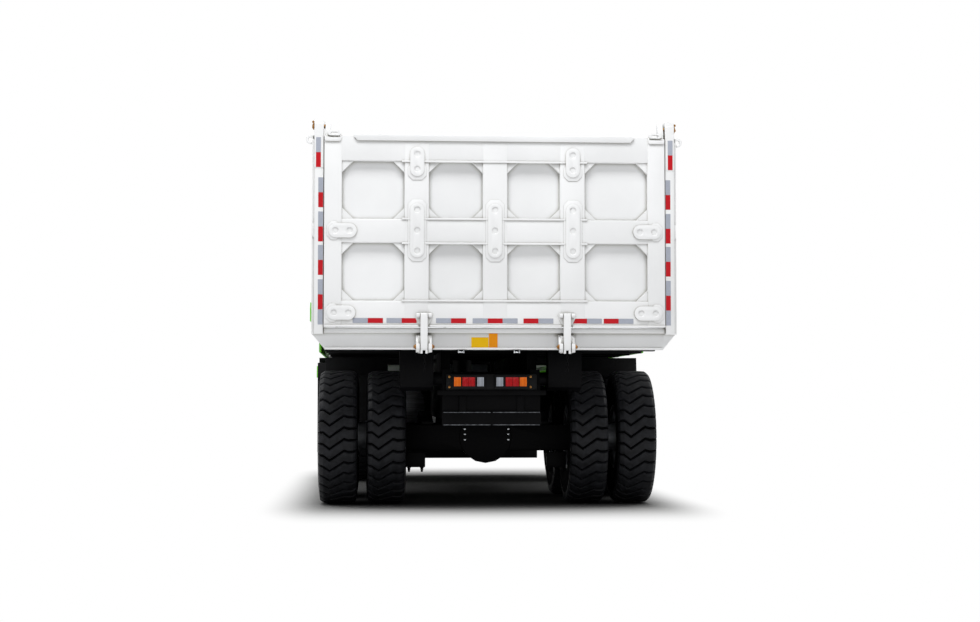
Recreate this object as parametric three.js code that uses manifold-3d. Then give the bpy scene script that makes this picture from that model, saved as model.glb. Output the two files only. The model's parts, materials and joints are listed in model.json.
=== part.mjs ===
// Six-wheel wide-body mining dump truck, empty and parked, as an assembly of separate solids.
// Millimetres, +Z up, +Y towards the cab, +X to the truck's right. Lengths along Y are first taken
// from the rearmost axle; the last lines move the truck so that the origin is under its middle.
import * as THREE from 'three';
import { mergeVertices } from 'three/addons/utils/BufferGeometryUtils.js';
import Module from 'manifold-3d';

const wasm = await Module();
wasm.setup();

// ---- driving dimensions ----
const gap = 0.3;              // seat between two pieces that touch
const clear = 8;              // room beside a piece that moves

const tandem = 1600;          // between the two driven axles
const wheelbase = 3900;       // middle axle to front axle
const tyreR = 725;
const tyreW = 430;            // section width
const treadW = 378;
const rimR = 318;
const rimWall = 26;
const hubR = 150;
const hubBore = 120;
const frontBore = 88;
const dualSpacing = 516;      // between twin tyres
const dualX = 1340;           // middle of a twin pair from the centre line
const frontX = 1450;          // front tyre from the centre line
const kingpinX = 1020;
const kingpinR = 75;
const kingpinH = 220;
const tieRodBack = 260;       // steering arm length behind the kingpin
const tieRodR = 34;

const railIn = 410;           // inside of a frame rail from the centre line
const railW = 100;
const railZ = 930;            // underside of the rails
const railH = 360;
const frameRear = -1080;
const frontOverhang = 1400;   // rails ahead of the front axle

const pivotY = -900;          // dump body pivot behind the rear axle
const pivotZ = 1350;
const pivotR = 70;
const pivotEndX = 960;
const pivotInX = 600;

const tailY = -1700;          // rear face of the tailgate rails
const gateD = 120;            // depth of the tailgate
const bodyL = 6160;           // tailgate rear face to the front wall's front face
const bodyHalf = 1845;        // half width over the side flanges
const postIn = 1722;          // inside of the rear corner posts
const wallT = 75;
const floorZ = 1850;          // top of the load floor
const floorT = 60;
const bearerH = 150;
const bodyTopZ = 3790;
const postTopZ = 3950;
const hingeZ = 3885;          // tailgate hinge
const hingeR = 22;
const sillDropZ = 1640;       // lower edge of the rear sill
const sillHalf = 1715;        // half width of the rear sill at its lower edge
const ribW = 110;
const ribD = 45;

const latchX = 720;           // tailgate latch from the centre line
const guardShort = 510;       // the spill guard stops this far behind the cab's front
const recessHalf = 210;       // hoist recess in the front wall
const recessD = 340;
const recessTopZ = 2800;

const hoistAhead = 300;       // hoist axis ahead of the front wall
const hoistLowZ = 1130;
const hoistEyeZ = 2950;
const hoistEyeR = 70;
const hoistWall = 12;
const hoistStep = 5;          // running clearance between sleeves
const hoistR = 130;

const deckZ = 1700;
const deckT = 60;
const deckHalf = 1960;
const cabLeft = -1860;
const cabRight = -340;
const cabGap = 560;           // cab's rear wall ahead of the front wall
const cabL = 1840;
const cabTopZ = 3440;
const cabWall = 60;
const doorBehind = 400;       // door's rear edge ahead of the cab's rear wall
const doorL = 1000;
const doorLowZ = 1840;
const doorTopZ = 3300;
const bumperD = 260;

// ---- shape helpers ----
const segments = 16;
const wheelSides = 20;
const yAxis = new THREE.Vector3(0, 1, 0);

function box(x0, x1, y0, y1, z0, z1) {
  const g = new THREE.BoxGeometry(x1 - x0, y1 - y0, z1 - z0);
  return g.translate((x0 + x1) / 2, (y0 + y1) / 2, (z0 + z1) / 2);
}

// round bar between two points
function bar(r, from, to, sides = segments, topR = r) {
  const a = new THREE.Vector3(...from);
  const b = new THREE.Vector3(...to);
  const g = new THREE.CylinderGeometry(topR, r, a.distanceTo(b), sides);
  const turn = new THREE.Quaternion().setFromUnitVectors(yAxis, b.clone().sub(a).normalize());
  const middle = a.add(b).multiplyScalar(0.5);
  return g.applyQuaternion(turn).translate(middle.x, middle.y, middle.z);
}

function outline(points) {
  return new THREE.Shape(points.map(([u, v]) => new THREE.Vector2(u, v)));
}

const extrude = (shape, depth) => new THREE.ExtrudeGeometry(shape, { depth, bevelEnabled: false, curveSegments: 6 });

// outline in (y, z), pulled along X
function alongX(points, x0, x1) {
  const turn = new THREE.Matrix4().makeBasis(yAxis, new THREE.Vector3(0, 0, 1), new THREE.Vector3(1, 0, 0));
  return extrude(outline(points), x1 - x0).applyMatrix4(turn).translate(x0, 0, 0);
}

// outline in (x, z), pulled along Y
function alongY(points, y0, y1) {
  return extrude(outline(points), y1 - y0).rotateX(Math.PI / 2).translate(0, y1, 0);
}

// outline in (x, y), pulled along Z
function alongZ(points, z0, z1) {
  return extrude(outline(points), z1 - z0).translate(0, 0, z0);
}

// ring or wheel shape about the X axis: profile points are (radius, x), closed on themselves
function turned(profile, sides) {
  const area = profile.reduce((sum, [r, x], i) => {
    const [r2, x2] = profile[(i + 1) % profile.length];
    return sum + r * x2 - r2 * x;
  }, 0);
  const closed = [...profile, profile[0]];
  if (area < 0) closed.reverse();
  const points = closed.map(([r, x]) => new THREE.Vector2(r, x));
  return new THREE.LatheGeometry(points, sides, Math.PI / sides).rotateZ(-Math.PI / 2);
}

function solid(g) {
  if (!g.isBufferGeometry) return g;
  const bare = new THREE.BufferGeometry();
  bare.setAttribute('position', g.getAttribute('position').clone());
  if (g.index) bare.setIndex(g.index.clone());
  const welded = mergeVertices(bare, 0.001);
  const vertProperties = new Float32Array(welded.getAttribute('position').array);
  const kept = [];
  const index = welded.index.array;
  for (let i = 0; i < index.length; i += 3) {
    const [a, b, c] = [index[i], index[i + 1], index[i + 2]];
    if (a !== b && b !== c && c !== a) kept.push(a, b, c);
  }
  const made = new wasm.Manifold(new wasm.Mesh({ numProp: 3, vertProperties, triVerts: new Uint32Array(kept) }));
  return made;
}

const join = (...pieces) => pieces.map(solid).reduce((all, next) => all.add(next));
const cut = (whole, ...tools) => tools.map(solid).reduce((left, tool) => left.subtract(tool), solid(whole));
const flip = (piece) => solid(piece).mirror([1, 0, 0]);
const bothSides = (piece) => join(piece, flip(piece));
const place = (piece, x, y, z) => solid(piece).translate([x, y, z]);

function surface(made) {
  const mesh = made.getMesh();
  const g = new THREE.BufferGeometry();
  g.setAttribute('position', new THREE.BufferAttribute(new Float32Array(mesh.vertProperties), 3));
  g.setIndex(new THREE.BufferAttribute(new Uint32Array(mesh.triVerts), 1));
  const flat = g.toNonIndexed();
  flat.computeVertexNormals();
  return flat;
}

const paint = (color, roughness, metalness = 0) => new THREE.MeshStandardMaterial({ color, roughness, metalness });
const white = paint('#e9eae6', 0.42);
const green = paint('#6cc417', 0.4);
const black = paint('#17181a', 0.55);
const rubber = paint('#141416', 0.85);
const steel = paint('#8d9096', 0.35, 0.9);
const rimPaint = paint('#c9cac8', 0.45, 0.2);
const glass = paint('#26323a', 0.08);
const cloth = paint('#2b2d31', 0.9);
const plastic = paint('#1e2023', 0.6);
const lens = paint('#a3161a', 0.2);

const truck = new THREE.Group();

function add(name, piece, material) {
  const mesh = new THREE.Mesh(surface(solid(piece)), material);
  mesh.name = name;
  truck.add(mesh);
  return mesh;
}

// ---- places worked out from the driving dimensions ----
const middleY = tandem;
const frontY = tandem + wheelbase;
const axleZ = tyreR;
const flatShare = Math.cos(Math.PI / wheelSides);
const rimOuter = (rimR - gap) / flatShare;
const axleTubeX = dualX - 210;
const railTop = railZ + railH;
const railOut = railIn + railW;
const bodyFront = tailY + bodyL;
const floorLow = floorZ - floorT;
const bearerLow = floorLow - bearerH;
const hoistY = bodyFront + hoistAhead;
const deckLow = deckZ - deckT;
const cabRear = bodyFront + cabGap;
const cabFront = cabRear + cabL;
const doorRear = cabRear + doorBehind;
const doorFront = doorRear + doorL;
const frameFront = Math.max(frontY + frontOverhang, cabFront + 40);
const canopyFront = cabFront - guardShort;
const deckRear = cabRear - 60;
const engineRear = cabRear + 160;
const deckFront = frameFront + 50;

// ---- chassis ----
function frame() {
  const rail = box(railIn, railOut, frameRear, frameFront, railZ, railTop);
  const pivotCheek = box(railIn, railOut, pivotY - 110, pivotY + 110, railTop - 5, pivotZ + pivotR + 25);
  const hoistEar = join(box(85 + gap, 125, hoistY - 75, hoistY + 75, railZ + 5, hoistLowZ),
    bar(75, [85 + gap, hoistY, hoistLowZ], [125, hoistY, hoistLowZ]));
  const stops = [frameRear + 60, tandem / 2, tandem + 900, hoistY - 1160, frameFront - 60];
  const crossMembers = stops.map((y) => box(-railIn - 5, railIn + 5, y - 60, y + 60, railZ + 60, railTop - 60));
  const hoistBeam = box(-railIn - 5, railIn + 5, hoistY - 110, hoistY + 110, railZ, railZ + 100);
  const pivotShaft = bar(pivotR, [-pivotEndX, pivotY, pivotZ], [pivotEndX, pivotY, pivotZ]);
  return join(bothSides(join(rail, pivotCheek, hoistEar)), hoistBeam, pivotShaft, ...crossMembers);
}

function drivenAxle(y) {
  const tube = box(-axleTubeX, axleTubeX, y - 130, y + 130, axleZ - 150, axleZ + 130);
  const banjo = bar(285, [0, y - 150, axleZ], [0, y + 150, axleZ]);
  const nose = bar(120, [0, y, axleZ + 60], [0, y + 330, axleZ + 60], 16);
  const spindle = bar(110, [-dualX - 120, y, axleZ], [dualX + 120, y, axleZ]);
  return join(tube, banjo, nose, spindle);
}

// two leaf packs on trunnions between the driven axles, tied by one shaft
function rearSuspension() {
  const middle = tandem / 2;
  const seatZ = axleZ + 130 + gap;
  const pack = alongX([[middle - tandem / 2 - 90, seatZ], [middle + tandem / 2 + 90, seatZ],
    [middle + tandem / 2 + 90, seatZ + 40], [middle + 260, seatZ + 150],
    [middle - 260, seatZ + 150], [middle - tandem / 2 - 90, seatZ + 40]], 570, 700);
  const notch = box(565, 705, middle - 600, middle + 600, seatZ - 1, seatZ + 20);
  const trunnion = box(550, 720, middle - 150, middle + 150, axleZ - 60, seatZ + 60);
  const shaft = bar(65, [-600, middle, axleZ + 20], [600, middle, axleZ + 20]);
  const hanger = box(railIn + 5, railOut - 5, middle - 110, middle + 110, axleZ - 40, railZ - gap);
  return join(bothSides(join(cut(pack, notch), trunnion, hanger)), shaft);
}

function frontAxle() {
  const beam = box(-kingpinX + 20, kingpinX - 20, frontY - 75, frontY + 75, axleZ - 110, axleZ + 60);
  const boss = bar(kingpinR, [kingpinX, frontY, axleZ - kingpinH / 2], [kingpinX, frontY, axleZ + kingpinH / 2]);
  const pad = box(405, 515, frontY - 120, frontY + 120, axleZ + 40, axleZ + 90);
  return join(beam, bothSides(join(boss, pad)));
}

function frontSpring(side) {
  const low = axleZ + 90 + gap;
  const pack = alongX([[frontY - 700, railZ - 70], [frontY - 160, low], [frontY + 160, low],
    [frontY + 700, railZ - 70], [frontY + 700, railZ - 30], [frontY + 160, low + 70],
    [frontY - 160, low + 70], [frontY - 700, railZ - 30]], 420, 500);
  const eyes = [-700, 700].map((dy) => box(415, 505, frontY + dy - 60, frontY + dy + 60, railZ - 110, railZ - gap));
  const made = join(pack, ...eyes);
  return side < 0 ? flip(made) : made;
}

// steering knuckle: two ears on the kingpin boss, a web outside it, spindle and steering arm
function knuckle(side) {
  const earZ = kingpinH / 2 + gap;
  const ears = [-1, 1].map((up) => {
    const z0 = axleZ + (up > 0 ? earZ : -earZ - 40);
    return join(bar(85, [kingpinX, frontY, z0], [kingpinX, frontY, z0 + 40]),
      box(kingpinX, kingpinX + 150, frontY - 80, frontY + 80, z0, z0 + 40));
  });
  const web = box(kingpinX + 105, kingpinX + 150, frontY - 80, frontY + 80, axleZ - earZ - 40, axleZ + earZ + 40);
  const spindle = bar(80, [kingpinX + 120, frontY, axleZ], [frontX + 60, frontY, axleZ]);
  const armZ = axleZ - earZ - 40;
  const arm = box(kingpinX - 45, kingpinX + 45, frontY - tieRodBack - 40, frontY + 20, armZ - 20, armZ + 20);
  const made = join(...ears, web, spindle, arm);
  return side < 0 ? flip(made) : made;
}

function tieRod() {
  const y = frontY - tieRodBack;
  const top = axleZ - kingpinH / 2 - gap - 60 - gap;
  const z = top - 45;
  const ball = bar(38, [kingpinX, y, z - 30], [kingpinX, y, top]);
  return join(bar(tieRodR, [-kingpinX, y, z], [kingpinX, y, z], 16), bothSides(ball));
}

// ---- wheels ----
function tyre(x) {
  const bead = 0.33 * tyreW;
  const profile = [[rimR, x - bead], [rimR, x + bead], [rimR + 150, x + tyreW / 2],
    [tyreR - 45, x + treadW / 2 + 12], [tyreR, x + treadW / 2 - 22], [tyreR, x - treadW / 2 + 22],
    [tyreR - 45, x - treadW / 2 - 12], [rimR + 150, x - tyreW / 2]];
  return turned(profile.map(([r, px]) => [r / flatShare, px]), wheelSides);
}

// half of a rim barrel's section from its edge to its disc: radius, then place along X
function rimSection(x, side) {
  const half = 0.33 * tyreW + 18;
  const lip = rimOuter - rimWall;
  return [[lip, x + side * half], [rimOuter, x + side * half], [rimOuter, x - side * half], [lip, x - side * half]];
}

// twin rims on one hub: the discs meet near the middle of the pair
function dualHub() {
  const outer = dualX + dualSpacing / 2;
  const inner = dualX - dualSpacing / 2;
  const [discOut, discIn] = [outer - 90, inner + 90];
  const lip = rimOuter - rimWall;
  const profile = [[0, outer + 45], [hubR - 32, outer + 45], [hubR - 32, discOut + 16], [lip, discOut + 16],
    ...rimSection(outer, 1), [lip, discOut - 16], [hubR, discOut - 16], [hubR, discIn + 16], [lip, discIn + 16],
    ...rimSection(inner, 1), [lip, discIn - 16], [hubR, discIn - 16], [hubR, axleTubeX + gap],
    [hubBore, axleTubeX + gap], [hubBore, dualX + 130], [0, dualX + 130]];
  return turned(profile, wheelSides);
}

function frontHub() {
  const disc = frontX + 70;
  const lip = rimOuter - rimWall;
  const profile = [[0, frontX + 150], [hubR - 32, frontX + 150], [hubR - 32, disc + 16], [lip, disc + 16],
    ...rimSection(frontX, 1), [lip, disc - 16], [hubR, disc - 16], [hubR, kingpinX + 150 + gap],
    [frontBore, kingpinX + 150 + gap], [frontBore, frontX + 75], [0, frontX + 75]];
  return turned(profile, wheelSides);
}

function wheels() {
  const stations = [['front', frontY], ['middle', middleY], ['rear', 0]];
  const twin = dualHub();
  const single = frontHub();
  for (const [row, y] of stations) {
    for (const [name, side] of [['left', -1], ['right', 1]]) {
      const there = (piece) => place(side < 0 ? flip(piece) : piece, 0, y, axleZ);
      if (row === 'front') {
        add(`front_${name}_tyre`, there(tyre(frontX)), rubber);
        add(`front_${name}_rim`, there(single), rimPaint);
      } else {
        add(`${row}_${name}_outer_tyre`, there(tyre(dualX + dualSpacing / 2)), rubber);
        add(`${row}_${name}_inner_tyre`, there(tyre(dualX - dualSpacing / 2)), rubber);
        add(`${row}_${name}_rims`, there(twin), rimPaint);
      }
    }
  }
}

// ---- dump body ----
function bodyUnderframe() {
  const sill = box(railIn, railOut, pivotY + 260, bodyFront - 60, railTop + gap, bearerLow + 5);
  const bearers = [tailY + gateD + 160, pivotY, 0, 900, 1800, 2700, 3600, bodyFront - 120].map((y) =>
    box(-bodyHalf + 110, bodyHalf - 110, y - 60, y + 60, bearerLow, floorLow - gap));
  const stringer = box(620, 720, tailY + gateD + 100, bodyFront - 100, bearerLow + 20, floorLow - gap);
  const blockOutline = [[pivotY - 125, pivotZ], [pivotY - 90, pivotZ - 90], [pivotY, pivotZ - 125],
    [pivotY + 90, pivotZ - 90], [pivotY + 125, pivotZ], [pivotY + 125, bearerLow + 5], [pivotY - 125, bearerLow + 5]];
  const bore = bar(pivotR + 2, [pivotInX - 20, pivotY, pivotZ], [pivotEndX + 30, pivotY, pivotZ]);
  const block = cut(alongX(blockOutline, pivotInX, pivotEndX - 10), bore);
  const recess = box(-recessHalf, recessHalf, bodyFront - recessD, bodyFront + 5, bearerLow - 5, floorLow + 5);
  return cut(join(bothSides(join(sill, block, stringer)), ...bearers), recess);
}

function dumpBody() {
  const inner = tailY + gateD + gap;
  const wall = box(bodyHalf - ribD - wallT, bodyHalf - ribD, inner, bodyFront, floorLow, bodyTopZ);
  const rail = box(bodyHalf - ribD - wallT - 20, bodyHalf, inner, bodyFront, bodyTopZ - 150, bodyTopZ);
  const skirt = box(bodyHalf - ribD - 5, bodyHalf, inner, bodyFront, floorLow, floorLow + 190);
  const pitch = (bodyFront - inner - ribW) / 7;
  const ribs = [1, 2, 3, 4, 5, 6, 7].map((i) =>
    box(bodyHalf - ribD - 5, bodyHalf, inner + i * pitch, inner + i * pitch + ribW, floorLow, bodyTopZ));
  const post = box(postIn + clear, bodyHalf - 25, tailY + 20, inner + 120, floorLow, bodyTopZ + 5);
  const lip = box(bodyHalf - 40, bodyHalf, tailY + 50, tailY + 110, floorLow, bodyTopZ - 40);
  const head = box(postIn + clear, bodyHalf - 25, tailY + 20, tailY + 180, bodyTopZ - 300, postTopZ);
  const side = bothSides(join(wall, rail, skirt, post, lip, head, ...ribs));
  const floor = box(-bodyHalf + ribD + 5, bodyHalf - ribD - 5, inner, bodyFront, floorLow, floorZ);
  const front = box(-bodyHalf + ribD, bodyHalf - ribD, bodyFront - wallT, bodyFront, floorLow, bodyTopZ);
  const bay = box(-recessHalf - 40, recessHalf + 40, bodyFront - recessD - 40, bodyFront - 5, floorLow, recessTopZ + 40);
  const recess = box(-recessHalf, recessHalf, bodyFront - recessD, bodyFront + 5, floorLow - 5, recessTopZ);
  const guard = box(-bodyHalf + 190, bodyHalf - 190, bodyFront - 10, canopyFront, bodyTopZ - 60, bodyTopZ);
  const guardRib = box(900, 980, bodyFront - 10, canopyFront - 40, bodyTopZ - 120, bodyTopZ - 30);
  const gusset = alongX([[bodyFront - 10, bodyTopZ - 50], [bodyFront + 900, bodyTopZ - 50],
    [bodyFront - 10, bodyTopZ - 600]], 900, 980);
  const ear = alongX([[bodyFront - 10, hoistEyeZ - 120], [hoistY + 75, hoistEyeZ - 60],
    [hoistY + 75, hoistEyeZ + 75], [bodyFront - 10, hoistEyeZ + 160]], 75 + gap, 115);
  const frontBeam = box(-bodyHalf + 150, bodyHalf - 150, bodyFront - 10, bodyFront + 60, 3260, 3360);
  const whole = join(side, floor, front, bay, guard, bothSides(join(guardRib, gusset)), frontBeam);
  const pinHoles = bothSides(bar(hingeR + 1, [postIn - 10, tailY + 100, hingeZ], [bodyHalf, tailY + 100, hingeZ], 16));
  return join(cut(whole, recess, pinHoles), bothSides(ear), rearSill());
}

function rearSill() {
  const top = floorLow + 5;
  const face = alongY([[-bodyHalf, top], [-sillHalf, sillDropZ], [sillHalf, sillDropZ], [bodyHalf, top],
    [bodyHalf, top + 30], [-bodyHalf, top + 30]], tailY + gateD + gap, tailY + gateD + 60);
  const lip = box(-sillHalf, sillHalf, tailY + gateD - 25, tailY + gateD + 60, sillDropZ, sillDropZ + 16);
  const earIn = [-1, 1].map((side) => side * latchX);
  const ears = earIn.flatMap((x) => [-58, 30].map((dx) =>
    box(x + dx, x + dx + 28, tailY + 10, tailY + gateD + 10, sillDropZ - 40, floorLow - 20)));
  return join(face, lip, ...ears);
}

function tailgate() {
  const half = postIn;
  const back = tailY + gateD;
  const low = floorZ + 14;
  const rows = [[low, low + 275], [2715, 2950], [3530, bodyTopZ]];
  const rails = rows.map(([z0, z1]) => box(-half, half, tailY, back, z0, z1));
  const stiles = [[-half, -half + 185], [-905, -660], [-125, 125], [660, 905], [half - 185, half]];
  const ribs = stiles.map(([x0, x1]) => box(x0, x1, tailY + 6, back, low, bodyTopZ));
  const sheet = box(-half + 5, half - 5, back - 45, back, low + 5, bodyTopZ - 5);
  const ear = box(half - 62, half - 10, tailY + 20, back - 2, bodyTopZ - 90, hingeZ + 42);
  const pin = bar(hingeR, [half - 40, tailY + 100, hingeZ], [bodyHalf - 2, tailY + 100, hingeZ], 16);
  const cheeks = [-1, 1].flatMap((side) => [-46, 26].map((dx) =>
    box(side * latchX + dx, side * latchX + dx + 20, tailY - 50, tailY + 10, low + 30, low + 120)));
  return join(sheet, ...rails, ...ribs, bothSides(join(ear, pin)), ...cheeks);
}

function latchHook(side) {
  const z = sillDropZ + 20;
  const y = tailY - 20;
  const arm = alongX([[y - 22, z - 30], [y + 14, z - 30], [y + 14, floorZ + 130], [y - 5, floorZ + 150],
    [y - 22, floorZ + 130]], -20, 20);
  const boss = bar(30, [-30 + gap, y, z], [30 - gap, y, z], 16);
  return place(join(arm, boss), side * latchX, 0, 0);
}

// ---- telescopic hoist: sleeves nest in the barrel and all stand on its floor ----
function hoist() {
  const sleeveLow = hoistLowZ + 120;
  const barrelTop = hoistEyeZ - 190;
  const eye = bar(80, [-85 + gap, hoistY, hoistLowZ], [85 - gap, hoistY, hoistLowZ]);
  const foot = join(bar(hoistR, [0, hoistY, hoistLowZ + 85], [0, hoistY, sleeveLow]),
    box(-80, 80, hoistY - 60, hoistY + 60, hoistLowZ, hoistLowZ + 90));
  const tube = (r, top) => cut(bar(r, [0, hoistY, sleeveLow + gap], [0, hoistY, top]),
    bar(r - hoistWall, [0, hoistY, sleeveLow], [0, hoistY, top + 5]));
  const barrelWall = cut(bar(hoistR, [0, hoistY, sleeveLow - 5], [0, hoistY, barrelTop]),
    bar(hoistR - hoistWall, [0, hoistY, sleeveLow], [0, hoistY, barrelTop + 5]));
  const inset = hoistWall + hoistStep;
  const rodR = hoistR - 3 * inset;
  const rod = join(bar(rodR, [0, hoistY, sleeveLow + gap], [0, hoistY, hoistEyeZ - 130]),
    box(-60, 60, hoistY - 50, hoistY + 50, hoistEyeZ - 140, hoistEyeZ));
  const rodEye = bar(hoistEyeR, [-75 + gap, hoistY, hoistEyeZ], [75 - gap, hoistY, hoistEyeZ]);
  add('hoist_barrel', join(eye, foot, barrelWall), black);
  add('hoist_sleeve_outer', tube(hoistR - inset, barrelTop + 25), steel);
  add('hoist_sleeve_inner', tube(hoistR - 2 * inset, barrelTop + 50), steel);
  add('hoist_rod', join(rod, rodEye), steel);
}

// ---- deck, cab and front ----
function deck() {
  const plate = box(-deckHalf, deckHalf, deckRear, deckFront, deckLow, deckZ);
  const posts = [deckRear + 80, frontY + 900, deckFront - 120].map((y) =>
    box(railIn + 5, railOut - 5, y - 50, y + 50, railTop + gap, deckLow + 5));
  const edge = box(deckHalf - 40, deckHalf, deckRear, deckFront, deckLow - 60, deckZ);
  return join(plate, bothSides(join(...posts, edge)));
}

function fender(side) {
  const top = deckLow - 60 - gap;
  const rear = frontY - 1000;
  const front = frontY + 1000;
  const outer = [[rear - 60, 1150], [rear - 20, 1150], [rear + 30, 1490], [rear + 110, 1530], [front - 110, 1530],
    [front - 30, 1490], [front + 20, 1250], [front + 60, 1250], [front + 10, 1520], [front - 60, top],
    [rear + 60, top], [rear - 10, 1520]];
  const arch = alongX(outer, 1130, deckHalf - 10);
  const apron = alongX([[rear - 20, 1420], [rear + 110, 1540], [front - 110, 1540], [front + 20, 1420],
    [front - 20, top - 2], [rear + 20, top - 2]], deckHalf - 50, deckHalf + 20);
  const whole = join(arch, apron);
  return side < 0 ? flip(whole) : whole;
}

function bumper() {
  const y0 = frameFront + gap;
  const y1 = y0 + bumperD;
  const beam = alongZ([[-1860, y0], [1860, y0], [1900, y0 + 60], [1840, y1 - 40], [1500, y1], [-1500, y1],
    [-1840, y1 - 40], [-1900, y0 + 60]], 720, 1240);
  const lamp = box(1250, 1680, y1 - 70, y1 + 5, 920, 1120);
  const intake = box(-700, 700, y1 - 70, y1 + 5, 800, 1120);
  const face = box(-1900, 1900, deckFront + gap, deckFront + 90, 1300, 1900);
  const link = box(-1700, 1700, deckFront + gap + 10, deckFront + 70, 1200, 1340);
  const grilleHole = box(-180, 900, deckFront - 5, deckFront + 100, 1380, 1840);
  return join(cut(beam, bothSides(lamp), intake), cut(join(face, link), grilleHole));
}

function cabShell() {
  const outerShape = [[cabRear, deckZ + gap], [cabFront, deckZ + gap], [cabFront, 2420], [cabFront - 170, cabTopZ - 40],
    [cabFront - 230, cabTopZ], [cabRear + 40, cabTopZ], [cabRear, cabTopZ - 40]];
  const w = cabWall;
  const innerShape = [[cabRear + w, deckZ + w], [cabFront - w, deckZ + w], [cabFront - w, 2410],
    [cabFront - 170 - w, cabTopZ - w - 20], [cabRear + w, cabTopZ - w - 20]];
  const shell = cut(alongX(outerShape, cabLeft, cabRight), alongX(innerShape, cabLeft + w, cabRight - w));
  const doorway = box(cabLeft - 10, cabLeft + w + 10, doorRear, doorFront, doorLowZ, doorTopZ);
  const sideWindow = box(cabRight - w - 10, cabRight + 10, doorRear + 80, doorFront - 60, 2480, doorTopZ - 60);
  const windscreen = box(cabLeft + 110, cabRight - 110, cabFront - 400, cabFront + 10, 2480, cabTopZ - 190);
  const rearWindow = box(cabLeft + 260, cabRight - 260, cabRear - 10, cabRear + w + 10, 2560, cabTopZ - 240);
  const visor = box(cabLeft + 40, cabRight - 40, cabFront - 260, cabFront + 40, cabTopZ - 70, cabTopZ - 25);
  return join(cut(shell, doorway, sideWindow, windscreen, rearWindow), visor);
}

function cabDoor() {
  const x1 = cabLeft + 45;
  const leaf = box(cabLeft, x1, doorRear + clear, doorFront - clear, doorLowZ + clear, doorTopZ - clear);
  const window = box(cabLeft - 5, x1 + 5, doorRear + 90, doorFront - 90, 2500, doorTopZ - 90);
  const handle = box(cabLeft - 28, cabLeft + 5, doorRear + 60, doorRear + 190, 2380, 2420);
  const knuckles = [2000, 3100].map((z) =>
    box(cabLeft - 22, cabLeft + 10, doorFront - 60, doorFront - gap - 0.2, z, z + 90));
  return join(cut(leaf, window), handle, ...knuckles);
}

function pane(x0, x1, y0, y1, z0, z1) {
  return box(x0 + gap, x1 - gap, y0 + gap, y1 - gap, z0 + gap, z1 - gap);
}

function windscreenPane() {
  const slope = 170 / (cabTopZ - 40 - 2420);
  const at = (z) => cabFront - 22 - (z - 2420) * slope;
  const [z0, z1] = [2480 + gap, cabTopZ - 190 - gap];
  return alongX([[at(z0) - 12, z0], [at(z0), z0], [at(z1), z1], [at(z1) - 12, z1]],
    cabLeft + 110 + gap, cabRight - 110 - gap);
}

function driverSeat() {
  const x = (cabLeft + cabRight) / 2 - 120;
  const base = box(x - 180, x + 180, cabRear + 460, cabRear + 840, deckZ + cabWall + gap, 2130);
  const cushion = box(x - 260, x + 260, cabRear + 410, cabRear + 930, 2110, 2270);
  const back = alongX([[cabRear + 310, 2180], [cabRear + 430, 2180], [cabRear + 360, 2900],
    [cabRear + 250, 2900]], x - 250, x + 250);
  const head = box(x - 140, x + 140, cabRear + 235, cabRear + 325, 2880, 3080);
  return join(base, cushion, back, head);
}

function dashboard() {
  const [x0, x1] = [cabLeft + cabWall + gap, cabRight - cabWall - gap];
  return alongX([[cabFront - cabWall - gap, 1900], [cabFront - cabWall - gap, 2400], [cabFront - 300, 2400],
    [cabFront - 440, 2350], [cabFront - 440, 2220], [cabFront - 300, 2100], [cabFront - 240, 1900]], x0, x1);
}

function steeringWheel() {
  const x = (cabLeft + cabRight) / 2 - 120;
  const tilt = Math.PI / 5;
  const ring = new THREE.TorusGeometry(215, 17, 8, 24);
  const spoke = box(-205, 205, -14, 14, -10, 10);
  const column = bar(26, [0, 0, -188], [0, 0, 12], 12);
  return solid(join(ring, spoke, column)).rotate([THREE.MathUtils.radToDeg(tilt), 0, 0])
    .translate([x, cabFront - 550, 2430]);
}

function engineHood() {
  const shape = [[cabRear, deckZ + gap], [deckFront, deckZ + gap], [deckFront, 2300], [deckFront - 120, 2440],
    [cabRear, 2440]];
  const hollow = [[cabRear + 40, deckZ - 5], [deckFront - 40, deckZ - 5], [deckFront - 40, 2280],
    [deckFront - 135, 2400], [cabRear + 40, 2400]];
  return cut(alongX(shape, -250, 960), alongX(hollow, -210, 920));
}

function handrails() {
  const [x0, x1] = [1040, deckHalf - 40];
  const z = [deckZ + gap, deckZ + 560, deckZ + 1080];
  const corners = [[x0, deckFront - 40], [x1, deckFront - 40], [x1, frontY + 300], [x1, frontY - 400]];
  const posts = corners.map(([x, y]) => bar(22, [x, y, z[0]], [x, y, z[2] + 20], 6));
  const rails = [z[1], z[2]].flatMap((h) => [
    bar(20, [x0 - 15, corners[0][1], h], [x1 + 15, corners[0][1], h], 6),
    bar(20, [x1, corners[0][1] + 15, h], [x1, corners[3][1] - 15, h], 6)]);
  return join(...posts, ...rails);
}

function ladder() {
  const y0 = deckFront + 90 + gap;
  const sides = [-1790, -1340].map((x) => box(x, x + 40, y0, y0 + 60, 1240 + gap, 1880));
  const rungs = [1320, 1520, 1720].map((z) => box(-1760, -1330, y0 + 5, y0 + 110, z, z + 40));
  return join(...sides, ...rungs);
}

// the left one hangs on an arm from the cab, the right one on a post from the front panel
function mirror(side) {
  if (side < 0) {
    const y = cabFront + 60;
    return join(box(cabLeft - 100, cabLeft + 120, y, y + 70, 2340, 2940),
      bar(18, [cabLeft + 60, cabFront + gap, 2380], [cabLeft + 60, y + 20, 2380], 8));
  }
  const y = deckFront + 45;
  return join(box(1590, 1810, y - 35, y + 35, 2480, 3060), bar(18, [1700, y, 1900 + gap], [1700, y, 2520], 8));
}

// ---- powertrain, tanks and lamps ----
function engine() {
  return box(-380, 380, engineRear, frameFront - 480, railTop - 200, deckLow - 20);
}

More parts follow.
